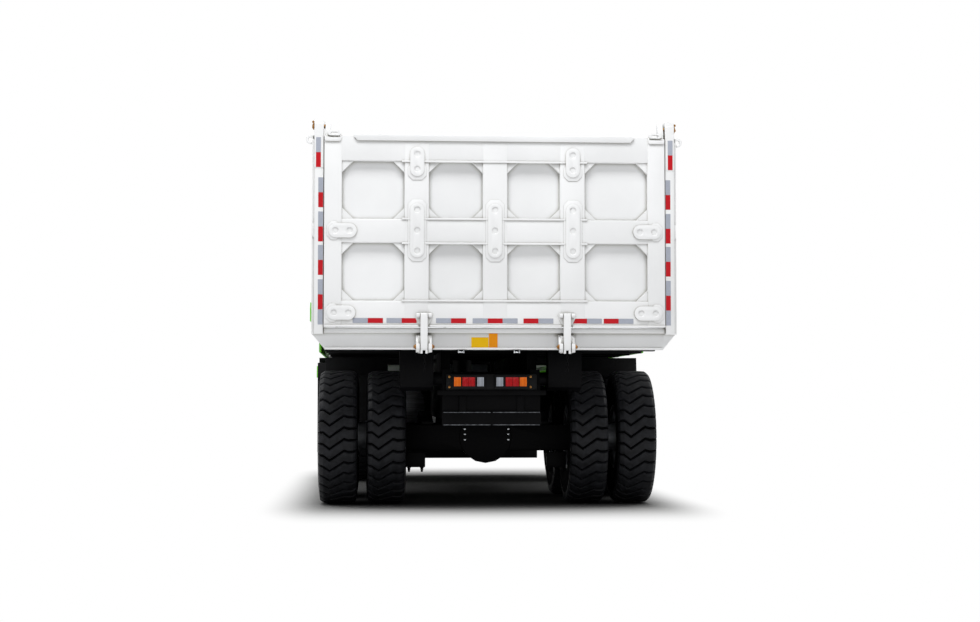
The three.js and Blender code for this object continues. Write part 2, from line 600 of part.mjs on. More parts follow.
function driveline() {
  const z = axleZ + 60;
  const gearbox = box(-260, 260, hoistY + 145, engineRear - gap, z - 80, 1180);
  const shaft = bar(60, [0, middleY + 330 + gap, z], [0, hoistY + 150, z]);
  return join(gearbox, shaft);
}

function radiator() {
  return join(box(-450, 450, frameFront - 320, frameFront - 180, railTop + 12, deckLow - 12), box(420, 505, frameFront - 300, frameFront - 200, railTop + gap, 1400),
    box(-505, -420, frameFront - 300, frameFront - 200, railTop + gap, 1400));
}

function tank(side) {
  const x0 = railOut + gap;
  const r = 300;
  const [rear, front] = [middleY + 960, frontY - 1540];
  const body = bar(r, [x0 + 60 + r, rear, 1060], [x0 + 60 + r, front, 1060]);
  const straps = [rear + 240, front - 260].map((y) => box(x0, x0 + 80, y - 60, y + 60, 960, 1160));
  const made = side < 0 ? join(body, ...straps)
    : join(alongX([[rear, 780], [front, 780], [front + 50, 830], [front + 50, 1300], [rear - 50, 1300],
      [rear - 50, 830]],
      x0 + 60, x0 + 640), ...straps);
  return side < 0 ? flip(made) : made;
}

function airCleaner() {
  const x = 1400;
  const y = cabRear + 180;
  return join(bar(230, [x, y, deckZ + 40], [x, y, 2500]), bar(90, [x, y, 2480], [x, y, 2750], 16),
    bar(150, [x, y, 2740], [x, y, 2860], 16), box(x - 260, x + 260, y - 120, y + 120, deckZ + gap, deckZ + 60));
}

function exhaust() {
  const [x, y] = [700, cabRear + 140];
  return join(bar(110, [x, y, 2440 + gap], [x, y, 3050]), bar(60, [x, y, 3040], [x, y, 3400], 12));
}

function tailLamps() {
  const y1 = frameRear - gap;
  const mount = box(-460, 460, y1 - 45, y1, 1235, 1300);
  const lamp = box(50, 400, y1 - 95, y1 - 5, 1270, 1410);
  return join(mount, bothSides(lamp));
}

add('frame', frame(), black);
add('middle_axle', drivenAxle(middleY), black);
add('rear_axle', drivenAxle(0), black);
add('rear_suspension', rearSuspension(), black);
add('front_axle', frontAxle(), black);
for (const [name, side] of [['left', -1], ['right', 1]]) {
  add(`front_spring_${name}`, frontSpring(side), black);
  add(`steering_knuckle_${name}`, knuckle(side), black);
  add(`latch_hook_${name}`, latchHook(side), white);
  add(`front_fender_${name}`, fender(side), green);
  add(`mirror_${name}`, mirror(side), plastic);
}
add('tie_rod', tieRod(), black);
wheels();
add('body_underframe', bodyUnderframe(), black);
add('dump_body', dumpBody(), white);
add('tailgate', tailgate(), white);
hoist();
add('deck', deck(), black);
add('bumper', bumper(), white);
add('cab', cabShell(), white);
add('cab_door', cabDoor(), white);
add('windscreen', windscreenPane(), glass);
add('door_glass', pane(cabLeft + 14, cabLeft + 26, doorRear + 90, doorFront - 90, 2500, doorTopZ - 90), glass);
add('side_glass', pane(cabRight - 36, cabRight - 24, doorRear + 80, doorFront - 60, 2480, doorTopZ - 60), glass);
add('rear_glass', pane(cabLeft + 260, cabRight - 260, cabRear + 24, cabRear + 36, 2560, cabTopZ - 240), glass);
add('driver_seat', driverSeat(), cloth);
add('dashboard', join(dashboard(), steeringWheel()), plastic);
add('engine_hood', engineHood(), white);
add('handrails', handrails(), green);
add('ladder', ladder(), black);
add('engine', engine(), steel);
add('driveline', driveline(), black);
add('radiator', radiator(), black);
add('fuel_tank', tank(-1), steel);
add('hydraulic_tank', tank(1), black);
add('air_cleaner', airCleaner(), plastic);
add('exhaust', exhaust(), steel);
add('tail_lamps', tailLamps(), lens);

// the origin is on the ground under the middle of the truck
const rearmost = tailY - 50;
const foremost = frameFront + gap + bumperD;
truck.position.y = -(rearmost + foremost) / 2;

export default truck;
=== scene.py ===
# %% [markdown]
# A six-wheel wide-body mining dump truck, empty and parked. The construction comes in as a fixed frame
# of plain solids; everything below gives it its finish: treaded tyres, a pressed and gusseted tailgate,
# reflective tape, lamps, glass and enamel. Lengths are in metres, +Z is up and +Y points to the cab.

# %% Load the frame
import json
import math

import bpy
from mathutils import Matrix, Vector

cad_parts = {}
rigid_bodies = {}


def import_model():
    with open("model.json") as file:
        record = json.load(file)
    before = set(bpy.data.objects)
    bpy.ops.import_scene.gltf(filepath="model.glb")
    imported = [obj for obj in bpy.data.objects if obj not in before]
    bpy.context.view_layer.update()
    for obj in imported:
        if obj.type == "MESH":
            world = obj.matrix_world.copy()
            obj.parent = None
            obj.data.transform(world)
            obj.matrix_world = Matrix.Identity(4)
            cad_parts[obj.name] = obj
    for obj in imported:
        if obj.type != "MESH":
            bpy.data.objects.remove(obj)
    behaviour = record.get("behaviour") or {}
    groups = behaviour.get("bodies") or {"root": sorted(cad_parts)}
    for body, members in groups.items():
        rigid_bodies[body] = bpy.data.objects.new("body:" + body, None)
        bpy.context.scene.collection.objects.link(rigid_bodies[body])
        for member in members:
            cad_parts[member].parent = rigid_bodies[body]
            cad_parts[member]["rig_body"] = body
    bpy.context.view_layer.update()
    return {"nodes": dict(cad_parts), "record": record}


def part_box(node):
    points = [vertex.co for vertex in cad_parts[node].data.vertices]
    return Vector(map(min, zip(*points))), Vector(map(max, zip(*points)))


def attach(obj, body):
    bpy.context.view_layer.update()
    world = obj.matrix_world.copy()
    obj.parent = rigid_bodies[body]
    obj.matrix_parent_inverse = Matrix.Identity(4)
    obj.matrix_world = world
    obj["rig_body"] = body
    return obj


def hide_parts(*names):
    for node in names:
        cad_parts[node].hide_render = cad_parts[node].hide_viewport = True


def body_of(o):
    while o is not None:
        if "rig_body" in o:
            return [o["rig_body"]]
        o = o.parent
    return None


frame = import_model()
MM = 0.001
WAVE_TURN = math.pi / 10  # a Wave texture repeats after this share of one over its scale

# %% [markdown]
# The camera comes first. A long lens far behind the truck keeps the tailgate square, low down at about
# chest height, a little left of the truck's middle and turned a few degrees back towards it.

# %% Camera
camera_data = bpy.data.cameras.new("rear_camera")
camera_data.sensor_width = 36.0
camera_data.lens = 63.7
camera = bpy.data.objects.new("rear_camera", camera_data)
camera.location = (-1.2435, -21.764, 1.155)
camera.rotation_euler = (math.radians(92.85), 0.0, math.radians(-3.91))
bpy.context.collection.objects.link(camera)
bpy.context.scene.camera = camera

# %% [markdown]
# Helpers for materials. The first three turn an sRGB hex colour to linear, add a node with its settings
# and links, and start a Principled material. The others lay on what most finishes here have: a slow
# drift of shade, a roughness that follows it, and a relief. Every pattern reads Object coordinates in
# metres, so its scale is one over the real size of a grain, a ripple or a smear.


# %% Material helpers
def linear(hex_colour, alpha=1.0):
    channels = [int(hex_colour[i : i + 2], 16) / 255 for i in (1, 3, 5)]
    return [c / 12.92 if c <= 0.04045 else ((c + 0.055) / 1.055) ** 2.4 for c in channels] + [alpha]


def add_node(material, kind, settings=None, links=None):
    made = material.node_tree.nodes.new(kind)
    for key, value in (settings or {}).items():
        if isinstance(key, int) or key in made.inputs:
            made.inputs[key].default_value = value
        else:
            setattr(made, key, value)
    for socket, source in (links or {}).items():
        material.node_tree.links.new(source, made.inputs[socket])
    return made


def start_material(name, settings):
    material = bpy.data.materials.new(name)
    material.use_nodes = True
    shader = material.node_tree.nodes["Principled BSDF"]
    for key, value in settings.items():
        shader.inputs[key].default_value = value
    place = add_node(material, "ShaderNodeTexCoord")
    return material, shader, place.outputs["Object"]


def colour_ramp(material, shader, source, first, last, low=0.0, high=1.0):
    """Base Color runs from the first colour to the last one as the source goes from low to high."""
    ramp = add_node(material, "ShaderNodeValToRGB", {}, {"Fac": source})
    for element, position, colour in zip(ramp.color_ramp.elements, (low, high), (first, last)):
        element.position = position
        element.color = linear(colour)
    material.node_tree.links.new(ramp.outputs["Color"], shader.inputs["Base Color"])
    return ramp.outputs["Color"]


def mottle(material, shader, place, size_mm, dark, light):
    """Slow colour drift between two shades, in patches about size_mm across."""
    noise = add_node(
        material, "ShaderNodeTexNoise", {"Scale": 1000 / size_mm, "Detail": 5.0}, {"Vector": place}
    )
    colour_ramp(material, shader, noise.outputs["Fac"], dark, light, 0.35, 0.65)
    return noise.outputs["Fac"]


def painted_corner_shade(material, corner_shade_colour):
    """Painted shade: the base colour is blended towards a warm grey along inside corners and under edges,
    within a few centimetres of them, wherever ambient occlusion finds them shut in.
    """
    base = material.node_tree.nodes["Principled BSDF"].inputs["Base Color"]
    corner = add_node(material, "ShaderNodeAmbientOcclusion", {"samples": 6, "Distance": 0.05})
    cover = add_node(
        material, "ShaderNodeMapRange", {"From Min": 0.25, "From Max": 0.85},
        {"Value": corner.outputs["AO"]},
    )
    blend = add_node(
        material, "ShaderNodeMixRGB", {"Color1": linear(corner_shade_colour)},
        {"Fac": cover.outputs["Result"], "Color2": base.links[0].from_socket},
    )
    material.node_tree.links.new(blend.outputs["Color"], base)


def roughen(material, shader, source, low, high):
    spread = add_node(material, "ShaderNodeMapRange", {"To Min": low, "To Max": high}, {"Value": source})
    material.node_tree.links.new(spread.outputs["Result"], shader.inputs["Roughness"])


def relief(material, shader, place, size_mm, depth_mm, strength):
    """Bump of depth_mm from grains about size_mm across."""
    grain = add_node(
        material, "ShaderNodeTexNoise", {"Scale": 1000 / size_mm, "Detail": 3.0}, {"Vector": place}
    )
    bump = add_node(
        material, "ShaderNodeBump", {"Distance": depth_mm * MM, "Strength": strength},
        {"Height": grain.outputs["Fac"]},
    )
    material.node_tree.links.new(bump.outputs["Normal"], shader.inputs["Normal"])


def finish(name, settings, patch_mm, dark, light, rough, grain=None):
    """A whole finish: the shade drifts in patches, the roughness follows it, and grain is its relief."""
    material, shader, place = start_material(name, settings)
    drift = mottle(material, shader, place, patch_mm, dark, light)
    roughen(material, shader, drift, *rough)
    if grain:
        relief(material, shader, place, *grain)
    return material


# %% [markdown]
# The body is rolled plate in white two-pack enamel, sprayed thick: a clear gloss over a very faint
# orange peel, with slow waviness where the plate has pulled at its welds. The shade drifts by a hair
# from patch to patch, which is what stops it from looking like plastic.

# %% White enamel on plate
white_enamel = finish(
    "white_enamel_on_plate", {"Coat Weight": 0.2, "Coat Roughness": 0.15, "IOR": 1.5},
    900, "#e8e9ea", "#f0f1f2", (0.32, 0.46), (160, 1.2, 0.35),
)
# Painted shade: a warm grey darkens the white enamel along inside corners and under edges.
painted_corner_shade(white_enamel, "#8f8c80")

# %% [markdown]
# The bright green accents are the same enamel in another colour. The chassis is a satin black top coat
# over primer, with only a little sheen, so that the space under the body stays dark.

# %% Green enamel and black chassis paint
green_enamel = finish(
    "bright_green_enamel", {"Coat Weight": 0.4, "Coat Roughness": 0.08, "IOR": 1.5},
    500, "#5fc512", "#74d61d", (0.25, 0.4), (120, 0.8, 0.3),
)
chassis_paint = finish(
    "satin_black_chassis_paint", {"IOR": 1.5, "Specular IOR Level": 0.07},
    240, "#020203", "#08080a", (0.38, 0.62), (9, 0.25, 0.5),
)

# %% [markdown]
# New tyre rubber is a carbon black with a waxy bloom: dark, faintly blue-grey where light grazes the
# blocks, with a fine moulded grain. The carcass, seen down in the grooves, is a blacker and quite matt copy
# of the same rubber: its darker colour is painted shade.

# %% Tyre rubber
tyre_rubber = finish(
    "moulded_tyre_rubber", {"IOR": 1.52, "Specular IOR Level": 0.2},
    60, "#101114", "#212226", (0.42, 0.66), (3, 0.3, 0.6),
)
# Painted shade: the groove rubber is a darker copy of the tread rubber, so that the grooves read darker
# than the blocks.
painted_shade_groove_rubber = finish(
    "matt_rubber_with_painted_groove_shade", {"IOR": 1.52, "Specular IOR Level": 0.06},
    60, "#020203", "#070708", (0.7, 0.9), (3, 0.3, 0.6),
)

# %% [markdown]
# Metals: graphite wheel paint over pressed steel, ground chrome on the hoist, heat-blued exhaust steel,
# cast iron on the engine, yellow-passivated zinc on the pins, steel rubbed bare by mud, and rolled
# aluminium on the fuel tank. The rolling direction of the sheet comes from a pattern squeezed upright.

# %% Metals
wheel_paint = finish(
    "graphite_wheel_paint", {"Metallic": 0.35, "IOR": 1.5},
    150, "#5c5f63", "#7d8084", (0.3, 0.45), (5, 0.15, 0.4),
)
hoist_chrome = finish("ground_hard_chrome", {"Metallic": 1.0}, 80, "#9da0a4", "#c4c7ca", (0.1, 0.2))
exhaust_steel = finish("heat_tinted_steel", {"Metallic": 1.0}, 140, "#5d5148", "#8a8480", (0.3, 0.5))
engine_iron = finish(
    "painted_cast_iron", {"IOR": 1.5}, 90, "#34383c", "#4a4f55", (0.5, 0.7), (4, 0.5, 0.7)
)
passivated_zinc = finish(
    "yellow_passivated_zinc", {"Metallic": 0.7}, 14, "#8a5a2b", "#b98a4a", (0.3, 0.5)
)
bare_steel = finish("mud_polished_steel", {"Metallic": 1.0}, 40, "#4a4c50", "#7b7e83", (0.3, 0.5))

tank_aluminium, shader, place = start_material("rolled_aluminium_sheet", {"Metallic": 1.0})
brushing = add_node(tank_aluminium, "ShaderNodeMapping", {"Scale": (4.0, 4.0, 220.0)}, {"Vector": place})
drift = mottle(tank_aluminium, shader, brushing.outputs["Vector"], 1000, "#9a9da0", "#c2c5c8")
roughen(tank_aluminium, shader, drift, 0.25, 0.42)

# %% [markdown]
# Plastics, glass and cloth: grained black mouldings, tinted laminated glass, and a woven seat cover whose
# threads are drawn at 6 mm, coarser than the real 1 mm, so that they show at this distance.

# %% Plastics, glass and cloth
black_plastic = finish(
    "grained_black_plastic", {"IOR": 1.46, "Specular IOR Level": 0.2},
    70, "#070708", "#101113", (0.45, 0.65), (2.5, 0.25, 0.6),
)
cab_glass = finish(
    "tinted_laminated_glass", {"IOR": 1.52, "Transmission Weight": 0.9, "Alpha": 0.32},
    700, "#2c3a3f", "#3b4a50", (0.02, 0.05),
)

seat_cloth, shader, place = start_material(
    "woven_seat_cloth", {"Sheen Weight": 0.4, "Sheen Roughness": 0.5},
)
threads = [
    add_node(
        seat_cloth, "ShaderNodeTexWave",
        {"Scale": WAVE_TURN / (6 * MM), "Distortion": 0.6, "bands_direction": way}, {"Vector": place},
    )
    for way in ("X", "Z")
]
crossing = add_node(
    seat_cloth, "ShaderNodeMath", {"operation": "MULTIPLY"},
    {i: thread.outputs["Fac"] for i, thread in enumerate(threads)},
)
thread_bump = add_node(
    seat_cloth, "ShaderNodeBump", {"Distance": 0.8 * MM}, {"Height": crossing.outputs["Value"]}
)
seat_cloth.node_tree.links.new(thread_bump.outputs["Normal"], shader.inputs["Normal"])
drift = mottle(seat_cloth, shader, place, 30, "#232529", "#34373c")
roughen(seat_cloth, shader, drift, 0.8, 0.95)

# %% [markdown]
# Reflective tape is a honeycomb of sealed cells under clear film. The cells are 3 mm on the real tape and
# drawn at 12 mm here, because finer ones vanish. Lamp lenses are moulded acrylic with vertical flutes.


# %% Tape, lenses and label stock
def reflective(name, dark, light, rough=0.28):
    material, shader, place = start_material(
        name, {"Coat Weight": 0.15, "Coat Roughness": 0.1, "Specular IOR Level": 0.2},
    )
    cells = add_node(
        material, "ShaderNodeTexVoronoi", {"Scale": 1 / (12 * MM), "Randomness": 0.2}, {"Vector": place}
    )
    colour_ramp(material, shader, cells.outputs["Distance"], light, dark)
    roughen(material, shader, cells.outputs["Distance"], rough, rough + 0.2)
    return material


def lens(name, dark, light, glow):
    settings = {"Coat Weight": 0.2, "Coat Roughness": 0.04, "IOR": 1.49, "Specular IOR Level": 0.2}
    material, shader, place = start_material(name, settings | {"Emission Strength": glow})
    flutes = add_node(material, "ShaderNodeTexWave", {"Scale": WAVE_TURN / (14 * MM)}, {"Vector": place})
    colour = colour_ramp(material, shader, flutes.outputs["Fac"], dark, light)
    material.node_tree.links.new(colour, shader.inputs["Emission Color"])
    roughen(material, shader, flutes.outputs["Fac"], 0.12, 0.22)
    return material


tape_red = reflective("red_reflective_tape", "#a80c18", "#cc1825")
tape_silver = reflective("silver_reflective_tape", "#9398a4", "#b4b9c6")
label_yellow = reflective("yellow_label_stock", "#ffc400", "#ffd000", 0.3)
label_orange = reflective("orange_label_stock", "#f59200", "#ffa60a", 0.3)
lens_red = lens("red_acrylic_lens", "#6c0005", "#c80812", 0.25)
lens_amber = lens("amber_acrylic_lens", "#b04200", "#f87c08", 0.25)
lens_clear = lens("clear_acrylic_lens", "#6a7078", "#ccd2dc", 0.08)
print("materials:", len(bpy.data.materials))

# %% [markdown]
# The carried-over solids take their finish by slot: one material for each slot of the record.

# %% Finish the carried-over solids
finish_of_slot = {
    "chassis_black": chassis_paint,
    "body_white": white_enamel,
    "accent_green": green_enamel,
    "tyre_rubber": tyre_rubber,
    "rim_paint": wheel_paint,
    "black_plastic": black_plastic,
    "rod_chrome": hoist_chrome,
    "cab_glass": cab_glass,
    "seat_fabric": seat_cloth,
    "engine_iron": engine_iron,
    "radiator_core": chassis_paint,
    "tank_aluminium": tank_aluminium,
    "exhaust_steel": exhaust_steel,
    "lamp_lens": lens_red,
}
for part in frame["record"]["subparts"]:
    solid = bpy.data.objects[part["node"]]
    solid.data.materials.clear()
    solid.data.materials.append(finish_of_slot[part["material_slot"]])

# %% [markdown]
# The floor is a pale sweep that fades to plain white far from the truck, so there is no horizon line. It
# is plain diffuse paint near the tyres, where it has to catch the soft shadow, and ambient occlusion
# darkens it further where the truck shuts the light out.

# %% Floor
bpy.ops.object.select_all(action="DESELECT")
bpy.ops.mesh.primitive_grid_add(x_subdivisions=4, y_subdivisions=4, size=120.0, location=(0.0, 0.0, 0.0))
floor = bpy.context.object
floor.name = "floor"
floor_paint, shader, place = start_material(
    "pale_floor_paint", {"Roughness": 0.9, "Specular IOR Level": 0.1},
)
contact = add_node(floor_paint, "ShaderNodeAmbientOcclusion", {"samples": 8, "Distance": 3.0})
deepened = add_node(
    floor_paint, "ShaderNodeMath", {"operation": "POWER", 1: 1.5}, {0: contact.outputs["AO"]},
)
colour_ramp(floor_paint, shader, deepened.outputs["Value"], "#0c0c0d", "#cdcdcc")


def vector_step(operation, source, operand=(0.0, 0.0, 0.0)):
    step = add_node(floor_paint, "ShaderNodeVectorMath", {"operation": operation, 1: operand}, {0: source})
    return step.outputs["Vector"]


centred = vector_step("ADD", place, (0.0, -0.7, 0.0))
footprint = vector_step("ABSOLUTE", centred)
overhang = vector_step("SUBTRACT", footprint, (1.7, 4.1, 0.0))
outside = vector_step("MAXIMUM", overhang)
narrowed = vector_step("MULTIPLY", outside, (3.5, 1.0, 1.0))
reach = add_node(
    floor_paint, "ShaderNodeVectorMath", {"operation": "LENGTH"}, {0: narrowed},
)
fade = add_node(
    floor_paint,
    "ShaderNodeMapRange",
    {"From Min": 0.0, "From Max": 2.6, "interpolation_type": "SMOOTHSTEP"},
    {"Value": reach.outputs["Value"]},
)
paper = add_node(floor_paint, "ShaderNodeEmission", {"Color": (1.0, 1.0, 1.0, 1.0), "Strength": 1.0})
sweep = add_node(
    floor_paint,
    "ShaderNodeMixShader",
    {},
    {0: fade.outputs["Result"], 1: shader.outputs["BSDF"], 2: paper.outputs["Emission"]},
)
surface_out = floor_paint.node_tree.nodes["Material Output"]
floor_paint.node_tree.links.new(sweep.outputs["Shader"], surface_out.inputs["Surface"])
floor.data.materials.append(floor_paint)

# %% [markdown]
# Studio light: a light tent that is bright overhead and dim near the floor, so that daylight doesn't
# creep in under the body, and four soft boxes that give it direction. The camera and glass see plain
# white.

# %% Light and view
world = bpy.data.worlds.new("light_tent")
bpy.context.scene.world = world
world.use_nodes = True
tent = world.node_tree.nodes["Background"]
direction = add_node(world, "ShaderNodeTexCoord")
height = add_node(world, "ShaderNodeSeparateXYZ", {}, {"Vector": direction.outputs["Generated"]})
skirt = add_node(
    world,
    "ShaderNodeMapRange",
    {"From Min": 0.02, "From Max": 0.5, "To Min": 0.08, "To Max": 0.58},
    {"Value": height.outputs["Z"]},
)
ray = add_node(world, "ShaderNodeLightPath")
seen = add_node(
    world,
    "ShaderNodeMath",
    {"operation": "MAXIMUM"},
    {0: ray.outputs["Is Camera Ray"], 1: ray.outputs["Is Transmission Ray"]},
)
mirrored_part = add_node(
    world, "ShaderNodeMath", {"operation": "MULTIPLY", 1: 0.35}, {0: ray.outputs["Is Glossy Ray"]},
)
share = add_node(
    world, "ShaderNodeMath", {"operation": "MAXIMUM"},
    {0: seen.outputs["Value"], 1: mirrored_part.outputs["Value"]},
)
level = add_node(
    world, "ShaderNodeMapRange", {"To Max": 1.0},
    {"Value": share.outputs["Value"], "To Min": skirt.outputs["Result"]},
)
world.node_tree.links.new(level.outputs["Result"], tent.inputs["Strength"])
tent.inputs["Color"].default_value = (1.0, 1.0, 1.0, 1.0)


def soft_box(name, watts, size, place, target):
    lamp = bpy.data.lights.new(name, "AREA")
    lamp.energy = watts
    lamp.shape = "RECTANGLE"
    lamp.size, lamp.size_y = size
    holder = bpy.data.objects.new(name, lamp)
    holder.location = place
    holder.rotation_euler = (Vector(target) - Vector(place)).to_track_quat("-Z", "Y").to_euler()
    bpy.context.collection.objects.link(holder)


soft_box("rear_box", 1300, (8.0, 5.0), (-1.5, -11.0, 14.0), (0.0, -4.4, 2.6))
soft_box("left_box", 500, (7.0, 5.0), (-13.0, 1.0, 12.0), (0.0, 0.0, 2.4))
soft_box("right_box", 500, (7.0, 5.0), (13.0, 1.0, 12.0), (0.0, 0.0, 2.4))
soft_box("front_box", 900, (8.0, 5.0), (2.0, 14.0, 13.0), (0.0, 4.0, 2.0))
bpy.context.scene.view_settings.view_transform = "Standard"

# %% [markdown]
# New pieces start from a primitive and are worked on in edit mode. These helpers wrap the moves that come
# back again and again: clear the selection, add a block at its size and place, pull an outline from a
# single vertex, spin a profile about the axle, round the edges, and hand the piece over to the body that
# carries it.


# %% Modelling helpers
AXLE_X = (1.0, 0.0, 0.0)


def deselect():
    if bpy.context.object and bpy.context.object.mode != "OBJECT":
        bpy.ops.object.mode_set(mode="OBJECT")
    bpy.ops.object.select_all(action="DESELECT")


def start_block(low, high):
    """A cube primitive at its size and place, with its place in the mesh."""
    deselect()
    bpy.ops.mesh.primitive_cube_add(size=1.0, location=[(a + b) / 2 for a, b in zip(low, high)])
    block = bpy.context.object
    block.scale = [b - a for a, b in zip(low, high)]
    bpy.ops.object.transform_apply(location=True, rotation=True, scale=True)
    return block


def edit(piece):
    """Opens the piece in edit mode with all of it selected."""
    deselect()
    piece.select_set(True)
    bpy.context.view_layer.objects.active = piece
    bpy.ops.object.mode_set(mode="EDIT")
    bpy.ops.mesh.select_all(action="SELECT")


def trace(points, close=True):
    """One vertex pulled along the points. Leaves the outline in edit mode, all selected."""
    deselect()
    bpy.ops.mesh.primitive_plane_add(size=0.01)
    piece = bpy.context.object
    bpy.ops.object.mode_set(mode="EDIT")
    bpy.ops.mesh.merge(type="CENTER")
    bpy.ops.transform.translate(value=points[0])
    for here, there in zip(points, points[1:]):
        step = [b - a for a, b in zip(here, there)]
        bpy.ops.mesh.extrude_vertices_move(TRANSFORM_OT_translate={"value": step})
    bpy.ops.mesh.select_all(action="SELECT")
    if close:
        bpy.ops.mesh.edge_face_add()
    return piece


def prism(points, travel):
    """A flat outline filled and extruded by travel."""
    piece = trace(points)
    bpy.ops.mesh.extrude_region_move(TRANSFORM_OT_translate={"value": travel})
    bpy.ops.mesh.select_all(action="SELECT")
    bpy.ops.mesh.normals_make_consistent(inside=False)
    bpy.ops.object.mode_set(mode="OBJECT")
    return piece


def apply_modifier(piece, kind, **settings):
    modifier = piece.modifiers.new(kind.lower(), kind)
    for key, value in settings.items():
        setattr(modifier, key, value)
    bpy.context.view_layer.objects.active = piece
    bpy.ops.object.modifier_apply(modifier=modifier.name)


def soften(piece, radius_mm, segments=2):
    """A rounded or chamfered edge, as a weld bead or a folded plate has."""
    apply_modifier(
        piece, "BEVEL", width=radius_mm * MM, segments=segments, limit_method="ANGLE",
        harden_normals=False,
    )
    return piece


def block(low, high, radius_mm, segments=2):
    """A cube primitive at its size and place with its edges rounded."""
    return soften(start_block(low, high), radius_mm, segments)


def side_block(side, near, far, radius_mm, segments=2):
    """A rounded block on the given side, its X told from the middle plane outwards."""
    low_x, high_x = sorted((side * near[0], side * far[0]))
    return block((low_x, *near[1:]), (high_x, *far[1:]), radius_mm, segments)


def turned(piece, angle, axis, centre=(0.0, 0.0, 0.0)):
    """The piece turned in its mesh."""
    edit(piece)
    bpy.ops.transform.rotate(value=angle, orient_axis=axis, center_override=centre)
    bpy.ops.object.mode_set(mode="OBJECT")
    return piece


def drilled(piece, cutter):
    """The piece with the cutter taken out of it. The cutter is used up."""
    apply_modifier(piece, "BOOLEAN", operation="DIFFERENCE", object=cutter, solver="EXACT")
    bpy.data.objects.remove(cutter)


def copy_of(piece, shift=(0.0, 0.0, 0.0)):
    """A copy with its own mesh, moved in its mesh."""
    twin = piece.copy()
    twin.data = piece.data.copy()
    bpy.context.collection.objects.link(twin)
    for vertex in twin.data.vertices:
        vertex.co += Vector(shift)
    return twin


def mirrored(piece):
    """The same piece on the other side of the truck's middle plane."""
    twin = copy_of(piece)
    edit(twin)
    bpy.ops.transform.mirror(constraint_axis=(True, False, False), center_override=(0.0, 0.0, 0.0))
    bpy.ops.mesh.normals_make_consistent(inside=False)
    bpy.ops.object.mode_set(mode="OBJECT")
    return twin


def slab(outline, start_x, end_x, radius_mm, segments=2):
    """An outline of (y, z) points pulled from one X to another and rounded."""
    piece = prism([(start_x, y, z) for y, z in outline], (end_x - start_x, 0.0, 0.0))
    return soften(piece, radius_mm, segments)


def panel(outline, start_y, end_y, radius_mm, segments=2):
    """An outline of (x, z) points pulled from one Y to another and rounded."""
    piece = prism([(x, start_y, z) for x, z in outline], (0.0, end_y - start_y, 0.0))
    return soften(piece, radius_mm, segments)


def spun(profile, steps=64):
    """A closed profile of (x, radius) points turned about the X axis."""
    piece = trace([(x, 0.0, r) for x, r in profile] + [(profile[0][0], 0.0, profile[0][1])], close=False)
    bpy.ops.mesh.remove_doubles(threshold=0.0001)
    bpy.ops.mesh.select_all(action="SELECT")
    bpy.ops.mesh.spin(steps=steps, angle=math.tau, center=(0.0, 0.0, 0.0), axis=AXLE_X)
    bpy.ops.mesh.select_all(action="SELECT")
    bpy.ops.mesh.remove_doubles(threshold=0.0001)
    bpy.ops.mesh.normals_make_consistent(inside=False)
    bpy.ops.object.mode_set(mode="OBJECT")
    return piece


def ring_of(piece, count):
    """Spins copies of a piece about the X axis."""
    edit(piece)
    bpy.ops.mesh.spin(steps=count, angle=math.tau, dupli=True, center=(0.0, 0.0, 0.0), axis=AXLE_X)
    bpy.ops.mesh.select_all(action="SELECT")
    bpy.ops.mesh.remove_doubles(threshold=0.00001)
    bpy.ops.object.mode_set(mode="OBJECT")
    return piece


def joined(pieces):
    deselect()
    for piece in pieces:
        piece.select_set(True)
    bpy.context.view_layer.objects.active = pieces[0]
    if len(pieces) > 1:
        bpy.ops.object.join()
    return bpy.context.view_layer.objects.active


def deliver(parts, name, material, body, replaced=(), smooth_angle=35):
    """Joins and names a finished piece, paints it if it isn't yet, smooths it and puts it on its body."""
    piece = joined(parts) if isinstance(parts, list) else parts
    piece.name = name
    if material:
        piece.data.materials.clear()
        piece.data.materials.append(material)
    deselect()
    piece.select_set(True)
    bpy.context.view_layer.objects.active = piece
    bpy.ops.object.shade_smooth_by_angle(angle=math.radians(smooth_angle))
    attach(piece, body)
    if replaced:
        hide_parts(*replaced)
    print(f"{name}: {len(piece.data.polygons)} faces on {body}")
    return piece


# %% [markdown]
# A tyre for rock is a smooth carcass with thick lugs across it. The carcass is a cross-section spun round
# the axle. The lugs are all alike, so one is modelled as a bar with a bend in it, rounded over, and spun
# into 36 copies: spinning copies keeps every lug exactly at its pitch.

# %% Tyre sizes
TYRE_RADIUS = 0.725
TREAD_HALF = 0.190
BEAD_RADIUS = 0.324
GROOVE_DEPTH = 0.036
LUGS = 36
LUG_SHARE = 0.74
BASE_RADIUS = TYRE_RADIUS - GROOVE_DEPTH


# %% One tyre at the origin, its axle along X
def carcass():
    half = [
        (0.150, BEAD_RADIUS), (0.166, BEAD_RADIUS + 0.004), (0.172, BEAD_RADIUS + 0.026),
        (0.184, BEAD_RADIUS + 0.042), (0.204, 0.430), (0.2125, 0.490), (0.2130, 0.530), (0.2070, 0.548),
        (0.2070, 0.556), (0.2115, 0.562), (0.2060, 0.610), (0.1960, 0.646), (0.1880, 0.672),
        (0.1700, BASE_RADIUS - 0.004), (0.1000, BASE_RADIUS),
    ]
    return spun([(-x, r) for x, r in half] + half[::-1], 72)


def lug_bend(x):
    """How far round the tyre the lug's middle line lies, as a share of one pitch: flat, dip, peak, flat."""
    turns = [(-1.0, 0.0), (-0.8, 0.0), (-0.44, -0.42), (0.36, 0.42), (0.62, 0.30), (1.0, 0.34)]
    share = x / TREAD_HALF
    for (x0, y0), (x1, y1) in zip(turns, turns[1:]):
        if share <= x1:
            return y0 + (y1 - y0) * (share - x0) / (x1 - x0)
    return turns[-1][1]


